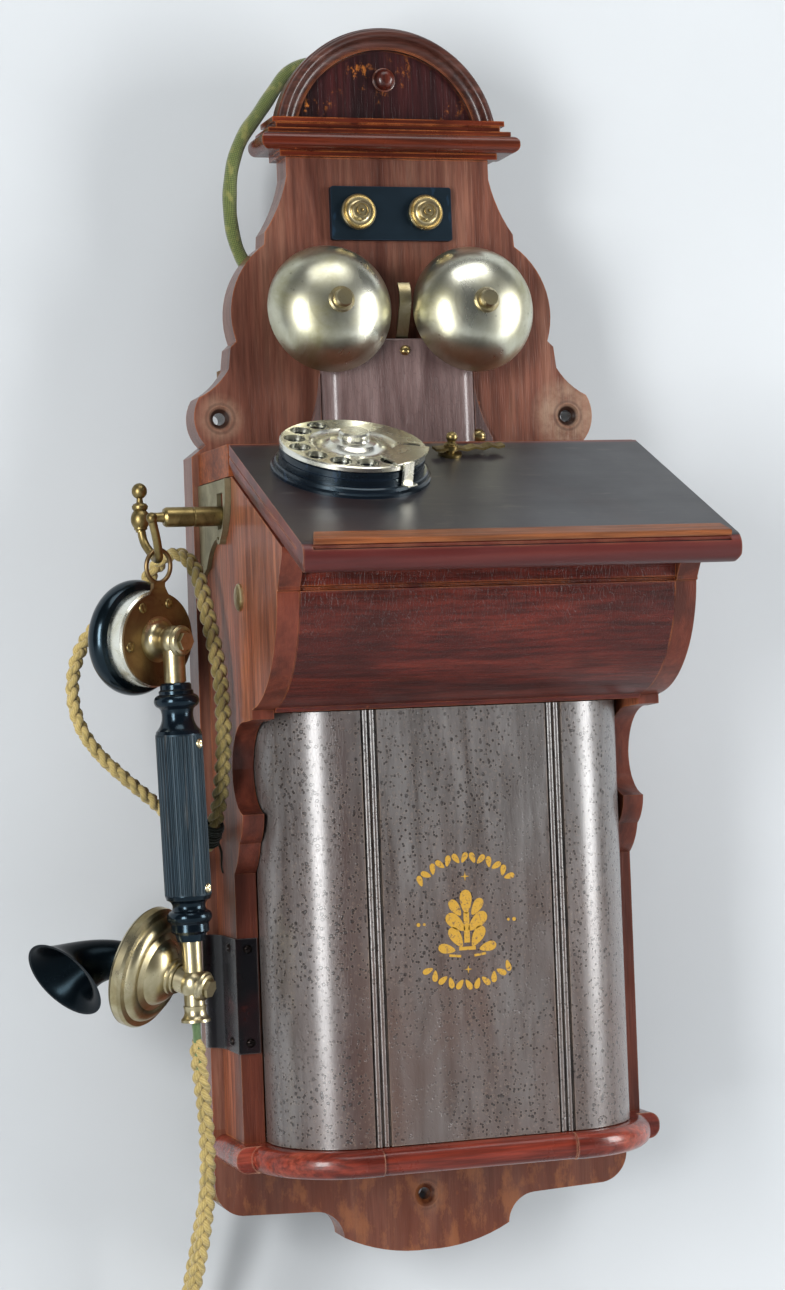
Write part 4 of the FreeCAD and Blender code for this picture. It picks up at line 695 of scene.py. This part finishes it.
# Cords: the routes are in millimetres, the other sizes in metres
HANDSET_ROUTE = [
    (-148, -99.5, -330.6), (-147.2, -99.3, -351), (-144.4, -95, -371), (-141.8, -90, -393),
    (-140.8, -85, -418), (-142.2, -79, -444), (-146, -72, -470), (-150, -65, -496), (-152.8, -60, -519),
    (-152.4, -56, -541), (-148.5, -47.8, -557), (-143.5, -34, -563.5), (-141.5, -18, -557),
    (-140.6, -9.2, -542), (-140, -7.2, -519), (-135.6, -6.8, -494), (-129, -6.8, -466),
    (-122.2, -6.6, -436), (-117.4, -6.3, -398), (-115.2, -6, -356), (-114.8, -5.4, -322),
    (-119.5, -5.2, -298), (-129.5, -7, -279), (-136.6, -20, -264), (-136.8, -40, -252.5),
    (-131.6, -60, -243), (-128.8, -75, -231), (-126.6, -85.5, -213), (-125.3, -90.6, -191),
    (-124.6, -91.5, -169), (-125, -90.5, -148), (-127.3, -88, -129), (-129.6, -84, -112),
    (-130.8, -78.5, -97), (-132.6, -70.5, -84.5), (-137.2, -61.5, -77), (-143.5, -53, -77),
    (-149.3, -46.3, -84.2), (-156, -42, -94.5), (-165.5, -40, -104), (-177.5, -41.5, -112),
    (-189, -46, -120.5), (-197.5, -51.5, -135), (-200.8, -55.5, -153), (-197.5, -59, -171),
    (-188, -61.5, -186), (-174.5, -61.5, -199), (-160.5, -57.5, -210.5), (-148, -48, -220.5),
    (-142, -33, -227.5), (-137, -18.5, -233), (-129.5, -8.2, -236.8), (-119, -5.3, -239),
    (-108.5, -5.6, -239.8), (-98.5, -6, -240),
]
LINE_ROUTE = [
    (-9, -6, 152), (-8.7, -6.1, 170), (-9.3, -6.15, 188), (-15.5, -6.3, 200.5), (-26.9, -6.6, 207.7),
    (-40.4, -7.1, 208.4), (-52.5, -8, 202.3), (-61.5, -9.5, 190), (-70.8, -11.2, 177), (-81, -12.9, 164.5),
    (-88, -14.5, 148.5), (-90.6, -15, 131), (-90, -13.2, 114), (-86, -9.6, 99.5), (-78.5, -6.4, 87.5),
    (-68.5, -6, 79),
]
PLAIT_PITCH = 0.0225
PLAIT_WIDE = 0.00250
PLAIT_DEEP = 0.00165
PLAIT_START = 0.011
PLAIT_SIDE = (0.85, -0.5, 0.0)
STRAND_R = 0.00205
THREAD_R = 0.0009
KNOT = Vector((-0.1290, -0.0745, -0.2318))


def handset_cord():
    """Three cotton strands plaited over each other, from just below the handset's outlet into the case."""
    line = smooth_line("handset_line", HANDSET_ROUTE)
    step = 0.0011
    points = even(line, step)
    rows = frames(points, PLAIT_SIDE)
    first = int(PLAIT_START / step)
    strands = []
    for k in range(3):
        centres = []
        for i in range(first, len(rows)):
            place, _, side, up = rows[i]
            s = i * step
            grow = min(1.0, 0.45 + (s - PLAIT_START) / 0.008)
            phase = math.tau * (s / PLAIT_PITCH + k / 3)
            loose = 1 + 0.06 * math.sin(s * 190 + k) + 0.04 * math.sin(s * 77)
            centres.append(place + side * PLAIT_WIDE * loose * grow * math.sin(phase)
                           + up * PLAIT_DEEP * grow * math.sin(2 * phase))
        radii = [STRAND_R * (1 + 0.05 * math.sin(i * 0.31 + k * 2)) for i in range(len(centres))]
        strands.append((centres, radii))
    cord = tube_piece("handset_plait", strands, COTTON, "case", sides=10)
    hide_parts("handset_cord")
    return cord, line, points


def cord_sleeve(points):
    """Thin green covered leads that come out of the handset and go in under the plait."""
    centres = points[:26]
    radii = [0.0023 + 0.00012 * math.sin(i * 0.9) for i in range(len(centres))]
    radii[-1] = 0.0016
    piece = tube_piece("cord_leads", [(centres, radii)], SLEEVE_BRAID, "handset", sides=16)
    return piece


def cord_binding(points):
    """Dark thread wound round the plait, its end left hanging."""
    middle = min(range(200, len(points)), key=lambda i: (points[i] - KNOT).length)
    rows = frames(points, PLAIT_SIDE)
    turns, half, per_turn = 9, 6, 14
    centres = []
    for j in range(turns * per_turn + 1):
        share = j / (turns * per_turn)
        at = middle - half + 2 * half * share
        low = int(at)
        place = points[low].lerp(points[low + 1], at - low)
        _, _, side, up = rows[low]
        angle = math.tau * turns * share
        reach = 0.0049 + 0.0004 * math.sin(share * 17)
        centres.append(place + (side * math.cos(angle) + up * math.sin(angle)) * reach)
    wound = tube_piece("thread_binding", [(centres, [THREAD_R] * len(centres))], THREAD, "case", sides=8)
    start = centres[-1] if centres[-1].z < centres[0].z else centres[0]
    shares = [i / 16 for i in range(17)]
    tail = [start + Vector((0.0042 * t + 0.0012 * math.sin(t * 5), -0.002 * t, -0.019 * t)) for t in shares]
    thinning = [0.0008 - 0.0003 * t for t in shares]
    hanging = tube_piece("thread_tail", [(tail, thinning)], THREAD, "case", sides=8)
    return [wound, hanging]


def line_cord():
    """Round braided cord from the top of the cornice over the board's shoulder and into its back."""
    line = smooth_line("line_cord_line", LINE_ROUTE)
    points = even(line, 0.002)
    radii = [0.004 + 0.00012 * math.sin(i * 0.6) + 0.0001 * math.sin(i * 0.23) for i in range(len(points))]
    cord = tube_piece("line_braid_cord", [(points, radii)], LINE_BRAID, "case", sides=20)
    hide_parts("line_cord")


plait, plait_line, plait_points = handset_cord()
on_cord = [cord_sleeve(plait_points)] + cord_binding(plait_points)
line_cord()


# Small pieces
def gilt():
    """Gold size gone thin and broken, over the door's dark varnish."""
    p = Paint("gilt")
    gone = p.ramp(p.noise(420, detail=5, roughness=0.7), (0.52, 0.0), (0.66, 1.0))
    colour = p.mix(gone, srgb(206, 160, 64), srgb(96, 74, 54))
    return p.finish(colour, p.calc("ADD", p.calc("MULTIPLY", gone, 0.2), 0.4),
                    p.bump(p.noise(600, detail=3), 0.00005, 0.4), p.calc("MULTIPLY_ADD", gone, -0.5))


def door_ornament():
    """Gilt transfer: a leaf wreath, open at both sides, round a fleuron and two small stars."""
    cx, cz, y = -0.0015, -0.2836, -0.12612
    wreath = 0.0345
    points, faces = [], []

    def shape(outline, x, z, turn, size):
        c, s = math.cos(turn), math.sin(turn)
        first = len(points)
        for a, b in outline:
            points.append((cx + x + (a * c - b * s) * size, y, cz + z + (a * s + b * c) * size))
        faces.append(tuple(range(first, len(points))))

    leaf = [(0.5 * math.sin(t) * (1 - 0.35 * math.cos(t)), -math.cos(t)) for t in
            [math.pi * i / 8 for i in range(9)]]
    leaf = leaf + [(-a, b) for a, b in leaf[-2:0:-1]]
    dot = [(math.cos(math.tau * i / 10), math.sin(math.tau * i / 10)) for i in range(10)]
    bar = [(-1, -0.2), (1, -0.2), (1, 0.2), (-1, 0.2)]
    ray = [(0, 1), (0.16, 0.16), (1, 0), (0.16, -0.16), (0, -1), (-0.16, -0.16), (-1, 0), (-0.16, 0.16)]
    for low, count in ((42, 13), (228, 11)):
        span = 96 if low == 42 else 84
        for i in range(count):
            angle = math.radians(low + span * i / (count - 1))
            lean = 0.5 if i % 2 else -0.5
            x, z = wreath * math.cos(angle), wreath * math.sin(angle)
            shape(leaf, x, z, angle - math.pi / 2 + lean, 0.0031)
    for side in (-1, 1):
        shape(dot, side * 0.0275, -0.0005, 0, 0.0011)
        shape(dot, side * 0.0242, -0.0005, 0, 0.0008)
        for lift, lean, size in ((-0.0085, 0.55, 0.0062), (-0.0005, 0.85, 0.0068), (0.0075, 0.6, 0.0052)):
            shape(leaf, side * 0.0062, lift, -side * lean, size)
        shape(leaf, side * 0.0118, -0.0145, -side * 1.35, 0.0050)
        shape(bar, side * 0.0072, -0.0185, side * 0.12, 0.0034)
    shape(leaf, 0, 0.0105, 0, 0.0066)
    shape(bar, 0, -0.0035, math.pi / 2, 0.0082)
    shape(bar, 0, -0.0148, 0, 0.0048)
    shape(ray, 0, 0.0243, 0, 0.0026)
    shape(ray, 0, -0.0262, 0, 0.0024)
    ornament = new_mesh("door_ornament", points, faces, gilt(), "battery_door", smooth=False)
    flat = ornament.modifiers.new("thickness", "SOLIDIFY")
    flat.thickness = 0.00008
    return ornament


def slotted_head(points, faces, base, out, across, radius, height):
    """Adds a domed screw head to the lists, its slot along across."""
    along = out.cross(across)
    first = len(points)
    sides = 24
    rings = ((1, 0), (1, 0.33), (0.85, 0.67), (0.54, 0.93), (0.23, 1))
    for share, rise in rings:
        for k in range(sides):
            angle = math.tau * k / sides
            in_slot = abs(math.sin(angle)) * share < 0.2 and rise > 0.5
            lift = height * (rise - (0.45 if in_slot else 0))
            spoke = across * math.cos(angle) + along * math.sin(angle)
            points.append(base + spoke * radius * share + out * lift)
    last = len(rings) - 1
    for i in range(last):
        for k in range(sides):
            a, b = first + i * sides + k, first + i * sides + (k + 1) % sides
            faces.append((a, b, b + sides, a + sides))
    faces.append(tuple(first + last * sides + k for k in range(sides)))


def handset_screws():
    """Round-headed slotted screws that hold the handle on its rod, and three in the hanger plate."""
    down = (LOWER_TEE - UPPER_TEE).normalized()
    out = Vector((0.72, -0.69, 0.0)).normalized()
    out = (out - down * out.dot(down)).normalized()
    points, faces = [], []
    for along in (0.0560, 0.1335):
        slotted_head(points, faces, UPPER_TEE + down * along + out * 0.0122, out, down, 0.0026, 0.0015)
    brass = new_mesh("grip_screws", points, faces, BRASS, "handset")
    side = Vector((0, 0, 1)).cross(RECEIVER_AXIS).normalized()
    rise = RECEIVER_AXIS.cross(side)
    centre = UPPER_TEE + RECEIVER_AXIS * 0.0114
    points, faces = [], []
    for angle, lean in ((-11, 0.4), (55, 1.1), (111, 0.9)):
        turn = math.radians(angle)
        base = centre + (side * math.cos(turn) + rise * math.sin(turn)) * 0.0208
        slot_line = side * math.cos(lean) + rise * math.sin(lean)
        slotted_head(points, faces, base, -RECEIVER_AXIS, slot_line, 0.0028, 0.0012)
    dark = new_mesh("plate_screws", points, faces, PATINA_BRASS, "handset")


door_ornament()
handset_screws()


# Backdrop and light
def backdrop():
    """Pale paper hung behind the telephone and swept forward over the floor."""
    back, floor, sweep, top, front, half_width, steps = 0.035, -0.60, 0.14, 3.0, -4.0, 3.5, 12
    points, faces = [], []
    profile = [(back, top), (back, floor + sweep)]
    for i in range(1, steps + 1):
        angle = math.pi / 2 * i / steps
        profile.append((back - sweep * (1 - math.cos(angle)), floor + sweep * (1 - math.sin(angle))))
    profile.append((front, floor))
    for y, z in profile:
        points.append((-half_width, y, z))
        points.append((half_width, y, z))
    for i in range(len(profile) - 1):
        faces.append((2 * i + 2, 2 * i + 3, 2 * i + 1, 2 * i))
    mesh = bpy.data.meshes.new("backdrop")
    mesh.from_pydata(points, [], faces)
    mesh.polygons.foreach_set("use_smooth", [True] * len(faces))
    mesh.materials.append(backdrop_paper())
    paper = bpy.data.objects.new("backdrop", mesh)
    scene.collection.objects.link(paper)


def soft_box(name, azimuth, height, distance, size, watts):
    """Rectangular lamp aimed at the telephone's middle, at an azimuth in degrees from its front."""
    data = bpy.data.lights.new(name, "AREA")
    data.shape = "RECTANGLE"
    data.size, data.size_y = size
    data.energy = watts
    lamp = bpy.data.objects.new(name, data)
    angle = math.radians(azimuth)
    target = Vector((0, -0.06, -0.12))
    lamp.location = target + Vector((math.sin(angle) * distance, -math.cos(angle) * distance, height))
    lamp.rotation_euler = (target - lamp.location).to_track_quat("-Z", "Y").to_euler()
    scene.collection.objects.link(lamp)


def light_the_room():
    """Two tall boxes at the sides, a wide one overhead, and a dim grey room."""
    soft_box("left_box", -46, 0.08, 1.9, (0.48, 1.1), 38)
    soft_box("right_box", 58, 0.16, 1.7, (0.5, 1.1), 30)
    soft_box("top_box", 8, 1.9, 1.0, (1.6, 1.0), 17)
    world = bpy.data.worlds.new("room")
    world.use_nodes = True
    world.node_tree.nodes["Background"].inputs["Color"].default_value = srgb(204, 206, 206)
    world.node_tree.nodes["Background"].inputs["Strength"].default_value = 0.14
    scene.world = world
    scene.view_settings.view_transform = "Standard"


backdrop()
light_the_room()
